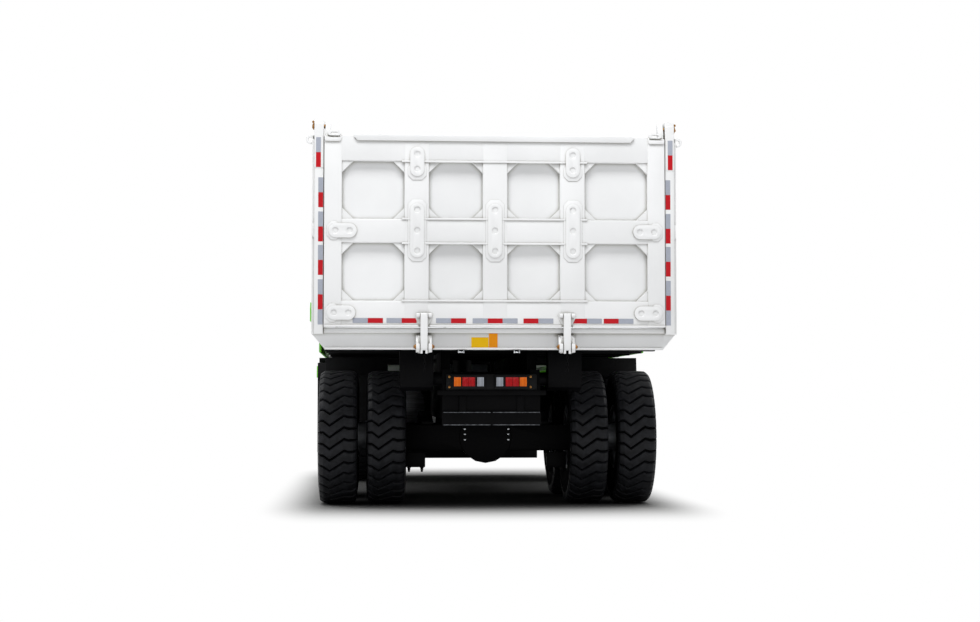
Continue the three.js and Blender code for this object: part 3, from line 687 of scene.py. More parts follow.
def lug():
    pitch = math.tau * TYRE_RADIUS / LUGS
    length = pitch * LUG_SHARE
    end_x = TREAD_HALF + 0.012
    bar = start_block(
        (-end_x, -length / 2, BASE_RADIUS - 0.022), (end_x, length / 2, TYRE_RADIUS - 0.004)
    )
    edit(bar)
    for corner in (-0.8, -0.44, -0.05, 0.36, 0.62, 0.86):
        bpy.ops.mesh.select_all(action="SELECT")
        bpy.ops.mesh.bisect(plane_co=(corner * TREAD_HALF, 0.0, 0.0), plane_no=(1.0, 0.0, 0.0))
    bpy.ops.object.mode_set(mode="OBJECT")
    for vertex in bar.data.vertices:
        x, y, z = vertex.co
        out = abs(x) / TREAD_HALF
        if z > BASE_RADIUS:
            crown = 0.0 if out < 0.7 else 0.006 * (out - 0.7) / 0.3
            z -= crown + (0.024 if out > 1.0 else 0.0)
            x *= 0.965 if out > 1.0 else 1.0
        else:
            y *= 1.12
            z -= 0.055 if out > 1.0 else 0.0
            x *= 1.02 if out > 1.0 else 1.0
        vertex.co = (x, y + lug_bend(x) * pitch, z)
    for vertex in bar.data.vertices:
        vertex.co.z = math.sqrt(max(vertex.co.z**2 - vertex.co.y**2, 0.01))
    return ring_of(soften(bar, 5, 2), LUGS)


bare_carcass, lug_ring = carcass(), lug()
# The carcass, which shows in the grooves, takes the darker rubber as painted shade.
bare_carcass.data.materials.append(painted_shade_groove_rubber)
lug_ring.data.materials.append(tyre_rubber)
one_tyre = joined([bare_carcass, lug_ring])
print("one tyre:", len(one_tyre.data.polygons), "faces")

# %% [markdown]
# Ten tyres from that one. Each copy gets its own mesh and is moved in its mesh to the middle of the solid
# it replaces. The flat of the contact patch is pressed in by moving what lies below the floor up to it.

# %% Ten tyres in place
for part in frame["record"]["subparts"]:
    node = part["node"]
    if not node.endswith("_tyre"):
        continue
    low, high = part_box(node)
    centre = (low + high) / 2
    centre.z = TYRE_RADIUS
    tyre = copy_of(one_tyre, centre)
    for vertex in tyre.data.vertices:
        vertex.co.z = max(vertex.co.z, low.z + 0.0005)
    body = body_of(frame["nodes"][node])[0]
    deliver(tyre, node.replace("_tyre", "_treaded_tyre"), None, body, [node], 30)
bpy.data.objects.remove(one_tyre)

# %% [markdown]
# The tailgate is a ladder of folded channels welded over one sheet: three rails across, two side frames
# and three uprights, which leaves eight panels. Each channel is a block with its edges rolled over. The
# faces are placed from the frame's box, so that sheet and channels keep to the solid they stand for.

# %% Tailgate ladder
gate_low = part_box("tailgate")[0]
GATE_HALF = 1.722
GATE_FACE = gate_low.y + 0.050
GATE_INNER = GATE_FACE + 0.120
GATE_BOTTOM, GATE_TOP = 1.864, 3.790
SHEET = 0.045
rails = [(GATE_BOTTOM, 2.122), (2.704, 2.944), (3.528, GATE_TOP)]
uprights = [(-GATE_HALF, -1.545), (-0.918, -0.672), (-0.129, 0.119), (0.653, 0.904), (1.545, GATE_HALF)]

ladder_parts = [
    start_block((-GATE_HALF, GATE_INNER - SHEET, GATE_BOTTOM), (GATE_HALF, GATE_INNER, GATE_TOP - 0.01))
]
for left, right in uprights:
    ladder_parts.append(
        block(
            (left, GATE_FACE, GATE_BOTTOM + 0.01),
            (right, GATE_INNER - SHEET + 0.004, GATE_TOP - 0.012), 9, 3,
        )
    )
for low, high in rails:
    ladder_parts.append(
        block(
            (-GATE_HALF + 0.170, GATE_FACE + 0.0015, low),
            (GATE_HALF - 0.170, GATE_INNER - SHEET + 0.004, high), 9, 3,
        )
    )
print("ladder members:", len(ladder_parts))

# %% [markdown]
# A triangular plate is welded into each panel corner. It sits a little behind the channel faces, so the
# panel reads as an octagon. Each plate is a triangle pulled inwards until it meets the sheet.

# %% Corner gussets
GUSSET_LEG = 0.122
GUSSET_SET_BACK = 0.016
for (_, panel_left), (panel_right, _) in zip(uprights, uprights[1:]):
    for (_, panel_low), (panel_high, _) in zip(rails, rails[1:]):
        for x, inward in ((panel_left - 0.004, 1), (panel_right + 0.004, -1)):
            for z, up in ((panel_low - 0.004, 1), (panel_high + 0.004, -1)):
                y = GATE_FACE + GUSSET_SET_BACK
                corner = [(x, z), (x + inward * GUSSET_LEG, z), (x, z + up * GUSSET_LEG)]
                ladder_parts.append(panel(corner, y, GATE_INNER - SHEET + 0.002, 3, 1))
print("gussets:", 4 * (len(uprights) - 1) * (len(rails) - 1))

# %% [markdown]
# Rolled lips stiffen the long edges: one wide lip under the top edge with its lower corners cut off, and
# four narrow ones that run between the outer uprights. A thin step runs along the bottom, with a gap at
# each latch, and one short step stands at each top corner.


# %% Lips
def gate_lip(left, right, low, high, proud, cut=0.0):
    ends = [
        (left, high), (right, high), (right, low + cut), (right - cut, low), (left + cut, low),
        (left, low + cut),
    ]
    if cut == 0.0:
        ends = [(left, high), (right, high), (right, low), (left, low)]
    return panel(ends, GATE_FACE - proud, GATE_FACE + 0.006, 3.5)


ladder_parts.append(gate_lip(-1.424, 1.404, 3.732, GATE_TOP + 0.004, 0.020, 0.036))
for edge in (3.516, 2.936, 2.690, 2.113):
    ladder_parts.append(gate_lip(-0.946, 0.930, edge, edge + 0.020, 0.011))
for low_x, high_x in ((-GATE_HALF, -0.775), (-0.665, 0.665), (0.775, GATE_HALF)):
    ladder_parts.append(gate_lip(low_x, high_x, GATE_BOTTOM - 0.004, GATE_BOTTOM + 0.016, 0.014))
for side in (-1, 1):
    low_x, high_x = sorted((side * 1.555, side * (GATE_HALF - 0.004)))
    ladder_parts.append(gate_lip(low_x, high_x, 3.722, 3.760, 0.016, 0.012))

# %% [markdown]
# Doubler plates cover the joints: round-ended plates over a wider backing plate, fixed by plug welds that
# show as shallow dishes. Each dish is a cone cut out with a Boolean modifier, because an inset can't make
# a round hole in a flat face. Three patterns are modelled, with two or three dishes each, and copied.


# %% Doubler plates
def round_ended(half_width, half_length, y, depth, points=14):
    turns = [math.pi * i / points for i in range(points + 1)]
    top = [
        (half_width * math.cos(a), y, half_length - half_width + half_width * math.sin(a))
        for a in turns
    ]
    bottom = [(-x, y, -z) for x, _, z in top]
    return prism(top + bottom, (0.0, depth, 0.0))


def doubler(half_length, dishes, backing_low, backing_high):
    plate = round_ended(0.072, half_length, -0.019, 0.022)
    for z in dishes:
        deselect()
        bpy.ops.mesh.primitive_cone_add(
            vertices=28, radius1=0.026, radius2=0.036, depth=0.014,
            location=(0.0, -0.0145, z), rotation=(math.pi / 2, 0.0, 0.0),
        )
        drilled(plate, bpy.context.object)
    soften(plate, 2.5, 2)
    corner = 0.045
    low, high, half = backing_low, backing_high, 0.093
    edge = [
        (-half, high - corner), (-half + corner, high), (half - corner, high), (half, high - corner),
        (half, low + corner), (half - corner, low), (-half + corner, low), (-half, low + corner),
    ]
    return joined([plate, panel(edge, -0.008, 0.003, 2.5)])


short_doubler = doubler(0.150, (-0.076, 0.076), -0.184, -0.010)
long_doubler = doubler(0.275, (-0.208, 0.0, 0.208), -0.312, 0.312)
side_doubler = doubler(0.142, (-0.072, 0.072), 0.020, 0.158)
for x in (-0.790, 0.782):
    ladder_parts.append(copy_of(short_doubler, (x, GATE_FACE, 3.523)))
for x in (-0.790, -0.006, 0.782):
    ladder_parts.append(copy_of(long_doubler, (x, GATE_FACE, 2.830)))
for side in (-1, 1):
    level_doubler = turned(copy_of(side_doubler), -side * math.pi / 2, "Y")
    for x, z in ((side * 1.537, 2.824), (side * 1.548, 2.000)):
        ladder_parts.append(copy_of(level_doubler, (x, GATE_FACE, z)))
    bpy.data.objects.remove(level_doubler)
for pattern_piece in (short_doubler, long_doubler, side_doubler):
    bpy.data.objects.remove(pattern_piece)

# %% [markdown]
# At each top corner the tailgate hangs from an ear that reaches up beside the post, with a slotted lug
# next to it for the lifting gear. At the bottom each latch's hook bears on a striker plate, which stands
# between two cheeks that guide it.

# %% Ears, lugs and latch pads
HINGE_Z = 3.885
HINGE_Y = GATE_FACE + 0.100
LATCH_X = 0.720
for side in (-1, 1):
    ear_outline = [
        (HINGE_Y - 0.082, GATE_TOP - 0.20), (HINGE_Y - 0.075, HINGE_Z - 0.02),
        (HINGE_Y - 0.042, HINGE_Z + 0.035), (HINGE_Y, HINGE_Z + 0.050),
        (HINGE_Y + 0.040, HINGE_Z + 0.030), (HINGE_Y + 0.016, GATE_TOP - 0.20),
    ]
    ladder_parts.append(slab(ear_outline, side * 1.660, side * 1.712, 5))
    lug_plate = turned(round_ended(0.024, 0.066, GATE_FACE - 0.012, 0.036), math.pi / 2, "Y")
    drilled(lug_plate, turned(round_ended(0.011, 0.034, GATE_FACE - 0.030, 0.080), math.pi / 2, "Y"))
    soften(lug_plate, 2, 1)
    ladder_parts.append(copy_of(lug_plate, (side * 1.622, 0.0, GATE_TOP + 0.012)))
    bpy.data.objects.remove(lug_plate)
    striker_outline = [
        (-0.082, 2.000), (0.082, 2.000), (0.088, 1.988), (0.086, 1.948), (0.066, 1.908), (0.050, 1.884),
        (-0.050, 1.884), (-0.066, 1.908), (-0.086, 1.948), (-0.088, 1.988),
    ]
    striker_outline = [(side * LATCH_X + x, z) for x, z in striker_outline]
    ladder_parts.append(panel(striker_outline, GATE_FACE - 0.006, GATE_FACE + 0.004, 3))
    for cheek_side in (-1, 1):
        inner, outer = LATCH_X * side + cheek_side * 0.041, LATCH_X * side + cheek_side * 0.078
        cheek_outline = [
            (GATE_FACE + 0.004, 1.950), (GATE_FACE - 0.030, 1.952), (GATE_FACE - 0.042, 1.964),
            (GATE_FACE - 0.042, 1.986), (GATE_FACE - 0.030, 1.996), (GATE_FACE + 0.004, 1.998),
        ]
        ladder_parts.append(slab(cheek_outline, min(inner, outer), max(inner, outer), 4))

gate = joined(ladder_parts)
deliver(gate, "tailgate_pressed", white_enamel, "tailgate", ["tailgate"])

# %% [markdown]
# Reflective tape comes in blocks, one red and one silver in turn, each 150 by 50 mm. A strip is one thin
# block with its edges softened. The posts carry upright strips and the bottom rail carries a level row
# with gaps at the latches. Each colour of each carrier is one piece.

# %% Reflective tape
TAPE_LONG, TAPE_WIDE = 0.150, 0.049
TAPE_THICK = 0.0012
POST_FACE = GATE_FACE + 0.020
HEAD_FACE = GATE_FACE + 0.014


def tape(centre, face_y, upright):
    half_x, half_z = (TAPE_WIDE / 2, TAPE_LONG / 2) if upright else (TAPE_LONG / 2, TAPE_WIDE / 2)
    x, z = centre
    return block(
        (x - half_x, face_y - TAPE_THICK, z - half_z), (x + half_x, face_y + 0.0005, z + half_z), 0.4,
        1,
    )


rail_red, rail_silver = [], []
ROW_Z = 1.922
for x in (-1.206, -0.868, -0.373, -0.005, 0.356, 0.848, 1.169):
    rail_red.append(tape((x, ROW_Z), GATE_FACE, False))
    beside = [-1] if x < -0.1 else [1]
    if abs(x) < 0.1:
        beside = [-1, 1]
    for way in beside:
        rail_silver.append(tape((x + way * (TAPE_LONG + 0.001), ROW_Z), GATE_FACE, False))
deliver(rail_red, "gate_tape_red", tape_red, "tailgate")
deliver(rail_silver, "gate_tape_silver", tape_silver, "tailgate")

post_red, post_silver = [], []
for side in (-1, 1):
    post_silver.append(tape((side * 1.781, 3.688), HEAD_FACE, True))
    post_red.append(tape((side * 1.781, 3.537), HEAD_FACE, True))
    for red_z in (3.133, 2.789, 2.453, 2.108):
        x = side * 1.7565
        post_red.append(tape((x, red_z), POST_FACE, True))
        post_silver.append(tape((x, red_z + TAPE_LONG + 0.001), POST_FACE, True))
    post_silver.append(tape((side * 1.7565, 2.108 - TAPE_LONG - 0.001), POST_FACE, True))
deliver(post_red, "post_tape_red", tape_red, "bed")
deliver(post_silver, "post_tape_silver", tape_silver, "bed")

# %% [markdown]
# Each rear corner post ends in a hinge head. Its two cheeks hold the tailgate's pin, which is kept by a
# lock plate, and a lifting ring is welded to its outer side. The ring is a flat washer: a filled circle
# inset and emptied in the middle, then given its thickness.


# %% Hinge heads, pins and lifting rings
def washer(centre, outer, inner, thickness, axis, sides=32):
    """A flat ring, or a disc where inner is 0, as a filled circle that Solidify gives its thickness."""
    deselect()
    turn = {"X": (0.0, math.pi / 2, 0.0), "Y": (math.pi / 2, 0.0, 0.0), "Z": (0.0, 0.0, 0.0)}[axis]
    bpy.ops.mesh.primitive_circle_add(
        vertices=sides, radius=outer, fill_type="NGON", location=centre, rotation=turn,
    )
    ring = bpy.context.object
    bpy.ops.object.transform_apply(location=True, rotation=True, scale=True)
    if inner:
        edit(ring)
        bpy.ops.mesh.inset(thickness=outer - inner)
        bpy.ops.mesh.delete(type="FACE")
        bpy.ops.object.mode_set(mode="OBJECT")
    apply_modifier(ring, "SOLIDIFY", thickness=thickness, offset=0.0)
    return soften(ring, min(3.0, thickness * 300), 2)


def round_pin(start, end, radius, chamfer_mm=3.0, sides=24):
    """A turned pin between two points, chamfered at both ends."""
    deselect()
    start, end = Vector(start), Vector(end)
    turn = (end - start).to_track_quat("Z", "Y").to_euler()
    bpy.ops.mesh.primitive_cylinder_add(
        vertices=sides, radius=radius, depth=(end - start).length, location=(start + end) / 2, rotation=turn
    )
    bpy.ops.object.transform_apply(location=True, rotation=True, scale=True)
    return soften(bpy.context.object, chamfer_mm, 2)


def hex_bolt(place, across, height, axis):
    """A hexagon head on a washer, standing along axis from place."""
    way = Vector(axis)
    return [
        round_pin(place, Vector(place) + way * height * 0.25, across * 0.62, 0.8, 20),
        round_pin(place, Vector(place) + way * height, across * 0.5, 1.2, 6),
    ]


head_parts, pin_parts = [], []
for side in (-1, 1):
    head_outline = [
        (HINGE_Y - 0.070, 3.440), (HINGE_Y - 0.086, 3.458), (HINGE_Y - 0.086, 3.905),
        (HINGE_Y - 0.060, 3.944), (HINGE_Y + 0.050, 3.944), (HINGE_Y + 0.076, 3.905),
        (HINGE_Y + 0.076, 3.560),
    ]
    head_parts.append(slab(head_outline, side * 1.7285, side * 1.822, 6, 3))
    for x in (1.757, 1.792):
        head_parts += hex_bolt((side * x, HINGE_Y - 0.052, 3.942), 0.015, 0.008, (0.0, 0.0, 1.0))
    head_parts.append(washer((side * 1.862, HINGE_Y - 0.030, 3.748), 0.047, 0.022, 0.022, "Y"))
    head_parts.append(
        side_block(side, (1.816, HINGE_Y - 0.041, 3.705), (1.836, HINGE_Y - 0.019, 3.790), 2, 1)
    )
    step_outline = [
        (side * 1.806, 2.912), (side * 1.842, 2.900), (side * 1.842, 2.770), (side * 1.822, 2.752),
        (side * 1.806, 2.752),
    ]
    head_parts.append(panel(step_outline, HINGE_Y - 0.068, HINGE_Y - 0.038, 2.5))
    pin_parts.append(round_pin((side * 1.700, HINGE_Y, HINGE_Z), (side * 1.846, HINGE_Y, HINGE_Z), 0.0215))
    pin_parts.append(washer((side * 1.834, HINGE_Y, HINGE_Z), 0.034, 0.0, 0.012, "X"))
    pin_parts.append(
        side_block(side, (1.824, HINGE_Y - 0.058, 3.862), (1.834, HINGE_Y - 0.022, 3.935), 2, 1)
    )
    pin_parts += hex_bolt((side * 1.834, HINGE_Y - 0.040, 3.925), 0.022, 0.012, (side, 0.0, 0.0))
    pin_parts += hex_bolt((side * 1.834, HINGE_Y - 0.040, 3.872), 0.022, 0.012, (side, 0.0, 0.0))
deliver(head_parts, "hinge_heads", white_enamel, "bed")
deliver(pin_parts, "hinge_pins", passivated_zinc, "bed")

# %% [markdown]
# Under the tailgate the body ends in a sill: a flange that carries the tailgate's lower edge, a sloping
# face and a folded lip. The clevis ears for the latches stand on it, with a bushed pin through each pair.

# %% Rear sill dress
sill_parts, sill_pins, rope_hooks = [], [], []
SILL_FACE = GATE_FACE + 0.120
sill_parts.append(block((-1.726, SILL_FACE - 0.072, 1.802), (1.726, SILL_FACE + 0.004, 1.852), 8, 3))
lip_outline = [
    (SILL_FACE + 0.002, 1.654), (SILL_FACE - 0.010, 1.650), (SILL_FACE - 0.014, 1.643),
    (SILL_FACE - 0.010, 1.634), (SILL_FACE + 0.002, 1.634),
]
sill_parts.append(slab(lip_outline, -1.716, 1.716, 3))
for side in (-1, 1):
    for cheek_side in (-1, 1):
        near, far = LATCH_X * side + cheek_side * 0.043, LATCH_X * side + cheek_side * 0.080
        ear_outline = [
            (SILL_FACE + 0.002, 1.792), (SILL_FACE - 0.040, 1.790), (SILL_FACE - 0.090, 1.752),
            (SILL_FACE - 0.112, 1.700), (SILL_FACE - 0.172, 1.688), (SILL_FACE - 0.178, 1.640),
            (SILL_FACE - 0.150, 1.604), (SILL_FACE - 0.110, 1.604), (SILL_FACE - 0.060, 1.640),
            (SILL_FACE + 0.002, 1.650),
        ]
        sill_parts.append(slab(ear_outline, min(near, far), max(near, far), 3.5))
        boss_x = LATCH_X * side + cheek_side * 0.085
        sill_pins.append(washer((boss_x, SILL_FACE - 0.140, 1.660), 0.026, 0.0, 0.012, "X"))
        sill_pins += hex_bolt(
            (boss_x + cheek_side * 0.006, SILL_FACE - 0.140, 1.660), 0.030, 0.014,
            (cheek_side, 0.0, 0.0),
        )
    x = side * 0.2815 - 0.0605
    for edge in (-1, 1):
        rope_hooks.append(
            block(
                (x + edge * 0.026 - 0.006, SILL_FACE - 0.030, 1.600),
                (x + edge * 0.026 + 0.006, SILL_FACE - 0.006, 1.640), 3, 2,
            )
        )
    hook_bar = ((x - 0.034, SILL_FACE - 0.018, 1.609), (x + 0.034, SILL_FACE - 0.018, 1.609))
    rope_hooks.append(round_pin(*hook_bar, 0.007, 1.5, 16))
deliver(sill_parts, "rear_sill_edges", white_enamel, "bed")
deliver(sill_pins, "latch_clevis_pins", passivated_zinc, "bed")
deliver(rope_hooks, "rope_hooks", hoist_chrome, "bed")

# %% [markdown]
# The latch hooks are forged arms. Each is an outline pulled out and rounded: a nose that bears on the
# tailgate, a straight back, and a forked foot round the clevis pin.

# %% Latch hooks
PIN_Y, PIN_Z = -4.42515, 1.660
for side, name in ((-1, "left"), (1, "right")):
    low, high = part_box(f"latch_hook_{name}")
    middle = (low.x + high.x) / 2
    arm_outline = [
        (low.y, 1.700), (low.y, 1.960), (low.y + 0.006, high.z - 0.008), (low.y + 0.018, high.z),
        (high.y, high.z - 0.004), (high.y, 1.740), (high.y + 0.004, 1.660), (low.y + 0.024, 1.622),
        (low.y + 0.008, 1.626), (low.y, 1.648),
    ]
    arm = slab(arm_outline, middle - 0.036, middle + 0.036, 5, 3)
    foot = round_pin((middle - 0.036, PIN_Y, PIN_Z), (middle + 0.036, PIN_Y, PIN_Z), 0.030, 3)
    toes = [
        block(
            (middle + s * 0.025 - 0.011, -4.447, 1.592), (middle + s * 0.025 + 0.011, -4.410, 1.645), 3,
            2,
        )
        for s in (-1, 1)
    ]
    deliver(
        [arm, foot] + toes, f"latch_hook_forged_{name}", white_enamel, f"latch_{name}",
        [f"latch_hook_{name}"],
    )

# %% [markdown]
# A safety chain hangs from each latch. A link is a torus pulled long in edit mode, and every second link
# is turned a quarter about the chain. The chains are short and heavy, so they hang straight.

# %% Latch chains
for side, name in ((-1, "left"), (1, "right")):
    links = []
    for i in range(7):
        deselect()
        bpy.ops.mesh.primitive_torus_add(
            major_radius=0.013, minor_radius=0.0042, major_segments=16, minor_segments=8,
            location=(side * LATCH_X + 0.010, SILL_FACE - 0.046, 1.628 - 0.033 * i),
            rotation=(math.pi / 2, 0.0, 0.0),
        )
        link = bpy.context.object
        bpy.ops.object.transform_apply(location=False, rotation=True, scale=True)
        edit(link)
        bpy.ops.transform.resize(value=(0.85, 1.0, 1.55), center_override=link.location)
        if i % 2:
            bpy.ops.transform.rotate(value=math.pi / 2, orient_axis="Z", center_override=link.location)
        bpy.ops.object.mode_set(mode="OBJECT")
        bpy.ops.object.transform_apply(location=True, rotation=True, scale=True)
        links.append(link)
    deliver(links, f"latch_chain_{name}", chassis_paint, "bed")

# %% [markdown]
# Two blank labels are stuck on the sill: a wide yellow one and a tall orange one, both of vinyl stock.

# %% Blank labels
for name, material, low_x, high_x, low_z, high_z in (
    ("label_yellow", label_yellow, -0.238, -0.064, 1.650, 1.760),
    ("label_orange", label_orange, -0.060, 0.028, 1.650, 1.799),
):
    deliver(
        block((low_x, SILL_FACE - 0.0012, low_z), (high_x, SILL_FACE + 0.0005, high_z), 0.4, 1), name,
        material, "bed",
    )

# %% [markdown]
# The tail lamps: on each side a black housing with four square cells, amber outside, two red, and clear
# for reversing. Each lens is a block whose face is inset and pushed in, so it catches light round its
# rim.

# %% Tail lamps
lamp_low, lamp_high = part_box("tail_lamps")
LAMP_FACE = lamp_low.y
lamp_black, lamp_bolts = [], []
cells = {"amber": [], "red": [], "clear": []}
lamp_materials = {"amber": lens_amber, "red": lens_red, "clear": lens_clear}
for side in (-1, 1):
    near, far = (0.068, 0.408) if side < 0 else (0.032, 0.375)
    lamp_black.append(
        side_block(side, (near, LAMP_FACE + 0.012, 1.242), (far, LAMP_FACE + 0.088, 1.388), 8, 3)
    )
    edges = (
        (("clear", 0.084, 0.151), ("red", 0.176, 0.238), ("red", 0.243, 0.305), ("amber", 0.321, 0.393))
        if side < 0
        else (
            ("clear", 0.048, 0.117), ("red", 0.143, 0.207), ("red", 0.212, 0.275),
            ("amber", 0.288, 0.360),
        )
    )
    for colour, cell_near, cell_far in edges:
        cell = start_block(
            (min(side * cell_near, side * cell_far), LAMP_FACE, 1.269),
            (max(side * cell_near, side * cell_far), LAMP_FACE + 0.030, 1.362),
        )
        edit(cell)
        bpy.ops.mesh.select_all(action="DESELECT")
        bpy.ops.object.mode_set(mode="OBJECT")
        for face in cell.data.polygons:
            face.select = face.normal.y < -0.9
        bpy.ops.object.mode_set(mode="EDIT")
        bpy.ops.mesh.inset(thickness=0.007, depth=-0.004)
        bpy.ops.object.mode_set(mode="OBJECT")
        cells[colour].append(soften(cell, 2, 2))
    bolt_x = side * (far + 0.030)
    for z in (1.262, 1.368):
        lamp_bolts += hex_bolt((bolt_x, LAMP_FACE + 0.060, z), 0.020, 0.012, (0.0, -1.0, 0.0))
lamp_black.append(block((-0.470, LAMP_FACE + 0.060, 1.225), (0.470, lamp_high.y, 1.395), 6, 2))
deliver(lamp_black, "tail_lamp_housings", black_plastic, "chassis", ["tail_lamps"])
deliver(lamp_bolts, "tail_lamp_bolts", passivated_zinc, "chassis")
for colour, lenses in cells.items():
    deliver(lenses, f"tail_lamp_{colour}", lamp_materials[colour], "chassis")

# %% [markdown]
# Below the lamps the rails are closed by a channel and a tow plate. Their bare lower edges are polished
# by mud and show as two bright lines.

# %% Rear channel
rail_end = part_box("frame")[0].y
channel_parts = [
    block((-0.565, rail_end - 0.060, 1.176), (0.565, rail_end - 0.004, 1.228), 6, 2),
    block((-0.515, rail_end - 0.040, 0.862), (0.515, rail_end - 0.004, 1.006), 8, 2),
]
for x in (-0.30, 0.30):
    channel_parts.append(
        block((x - 0.035, rail_end - 0.030, 1.000), (x + 0.035, rail_end - 0.004, 1.180), 5, 2)
    )
channel_edges = [
    block((start_x, rail_end - 0.044, z), (start_x + 0.488, rail_end - 0.038, z + 0.009), 1.5, 1)
    for start_x in (-0.500, 0.012)
    for z in (0.866, 0.995)
]
channel_bolts = []
for x in (-0.235, 0.235):
    for z in (0.700, 0.760, 0.815):
        channel_bolts += hex_bolt((x, -3.028, z), 0.018, 0.012, (0.0, -1.0, 0.0))
# A spring pad under each end of the rear axle, with the four nuts of its clamp bolts.
for side in (-1, 1):
    channel_parts.append(side_block(side, (0.660, -2.960, 0.400), (0.870, -2.860, 0.560), 10, 2))
    for x in (0.695, 0.835):
        for y in (-2.940, -2.880):
            channel_parts += hex_bolt((side * x, y, 0.400), 0.034, 0.030, (0.0, 0.0, -1.0))
            channel_parts.append(round_pin((side * x, y, 0.350), (side * x, y, 0.420), 0.011, 1, 16))
deliver(channel_parts, "rear_channel", chassis_paint, "chassis")
deliver(channel_edges, "rear_channel_edges", bare_steel, "chassis")
deliver(channel_bolts, "axle_cover_bolts", hoist_chrome, "chassis")

# %% [markdown]
# Mudguards of black plastic sheet close the space over the driven tyres, and a flap hangs behind each
# front wheel. A mudguard is the outline of a folded sheet pulled across the truck. A flap is a block cut
# at five heights, so that it can curl back towards its foot.

# %% Mudguards and flaps
mudguards = []
for side in (-1, 1):
    x_in, x_out = side * 1.060, side * 1.760
    sheet_outline = [
        (-2.235, 1.400), (-2.225, 1.400), (-2.190, 1.588), (-0.355, 1.588), (-0.320, 1.470),
        (-0.310, 1.470), (-0.345, 1.602), (-2.200, 1.602),
    ]
    mudguards.append(slab(sheet_outline, x_in, x_out, 3))
    mudguards.append(
        block(
            (min(x_out, x_out - side * 0.012), -2.170, 1.520),
            (max(x_out, x_out - side * 0.012), -0.370, 1.600), 3, 2,
        )
    )
    for y in (-1.905, -0.70):
        mudguards.append(
            block(
                (min(side * 0.505, x_in), y - 0.030, 1.548),
                (max(side * 0.505, x_in + side * 0.3), y + 0.030, 1.588), 5, 2,
            )
        )
    flap = start_block(
        (min(side * 1.125, side * 1.965), 1.696, 0.420),
        (max(side * 1.125, side * 1.965), 1.710, 1.620),
    )
    edit(flap)
    for z in (0.62, 0.84, 1.06, 1.28, 1.50):
        bpy.ops.mesh.select_all(action="SELECT")
        bpy.ops.mesh.bisect(plane_co=(0.0, 0.0, z), plane_no=(0.0, 0.0, 1.0))
    bpy.ops.object.mode_set(mode="OBJECT")
    for vertex in flap.data.vertices:
        vertex.co.y += 0.030 * ((1.62 - vertex.co.z) / 1.2) ** 2
    mudguards.append(soften(flap, 4, 2))
deliver(mudguards, "mudguards_and_flaps", black_plastic, "chassis")

# %% [markdown]
# Bright green accents: seven plates in a row along the foot of each body side, each with two corners cut
# off, and a beam below them that shields the bearers' ends.

# %% Green side accents
accents = []
for side in (-1, 1):
    for i in range(7):
        start_y = -4.150 + i * 0.800
        plate_outline = [
            (start_y, 1.925), (start_y + 0.640, 1.925), (start_y + 0.700, 1.985),
            (start_y + 0.700, 2.118), (start_y + 0.060, 2.118), (start_y, 2.058),
        ]
        accents.append(slab(plate_outline, side * 1.842, side * 1.866, 2.5))
    accents.append(side_block(side, (1.800, -2.300, 1.655), (1.828, 1.350, 1.772), 8, 3))
deliver(accents, "green_side_accents", green_enamel, "bed")

# %% [markdown]
# The frame's plate work is right in shape but has knife edges, and no welded or folded edge is that
# sharp. A copy of each solid is merged and its flat faces are made whole, then a bevel rolls its edges.
# The copy stands for the solid. The solid itself is left alone.


# %% Rolled edges on the plate work
def rolled_copy(node, radius_mm):
    source = frame["nodes"][node]
    piece = copy_of(source)
    for key in list(piece.keys()):
        del piece[key]
    piece.parent = None
    edit(piece)
    bpy.ops.mesh.remove_doubles(threshold=0.00005)
    bpy.ops.mesh.dissolve_limited(angle_limit=math.radians(1.0))
    bpy.ops.object.mode_set(mode="OBJECT")
    apply_modifier(
        piece, "BEVEL", width=radius_mm * MM, segments=2, limit_method="ANGLE",
        angle_limit=math.radians(32), use_clamp_overlap=True,
    )
    return deliver(piece, f"{node}_rolled", None, body_of(source)[0], [node])


rolled_edges = {
    "dump_body": 7, "cab": 14, "engine_hood": 16, "bumper": 10, "deck": 6, "cab_door": 6, "dashboard": 14,
    "front_fender_left": 6, "front_fender_right": 6, "hydraulic_tank": 14, "mirror_left": 12,
    "mirror_right": 12, "frame": 5, "body_underframe": 5, "radiator": 5, "engine": 12, "ladder": 4,
    "rear_axle": 5, "middle_axle": 5, "rear_suspension": 4, "front_axle": 5, "driveline": 5,
    "hoist_barrel": 2, "hoist_sleeve_outer": 2, "hoist_sleeve_inner": 2, "hoist_rod": 2,
}
for node, radius_mm in rolled_edges.items():
    rolled_copy(node, radius_mm)

# %% [markdown]
# A wheel is a rolled rim with a flange at each side, a pressed disc with hand holes, a hub with a stepped
# cap and a ring of nuts. The round parts are one profile each, spun about the axle. The holes are cut by
# a ring of cylinders, and one nut is spun into ten.

# %% Wheels
RIM_SEAT = 0.318


def rim(centre_x):
    flange = [(0.178, 0.350), (0.170, 0.352), (0.163, 0.323), (0.100, RIM_SEAT), (0.0, 0.312)]
    inner = [(0.150, 0.296), (0.175, 0.318)]
    profile = [(-x, r) for x, r in flange] + [(x, r) for x, r in reversed(flange[:-1])]
    profile += [(x, r) for x, r in reversed(inner)] + [(-x, r) for x, r in inner]
    return spun([(centre_x + x, r) for x, r in profile])


def disc(disc_x, out):
    """A dished disc with eight hand holes. out is +1 where the dish opens away from the truck."""
    profile = [
        (disc_x - 0.007, 0.300), (disc_x + 0.007, 0.300), (disc_x + 0.007 + out * 0.010, 0.215),
        (disc_x + 0.007 + out * 0.026, 0.180), (disc_x + 0.007 + out * 0.026, 0.100),
        (disc_x - 0.007 + out * 0.026, 0.100), (disc_x - 0.007 + out * 0.026, 0.186),
        (disc_x - 0.007 + out * 0.010, 0.222),
    ]
    plate = spun(profile)
    drill = round_pin((disc_x - 0.05, 0.0, 0.249), (disc_x + 0.05, 0.0, 0.249), 0.030, 0.5, 20)
    ring_of(drill, 8)
    drilled(plate, drill)
    return plate


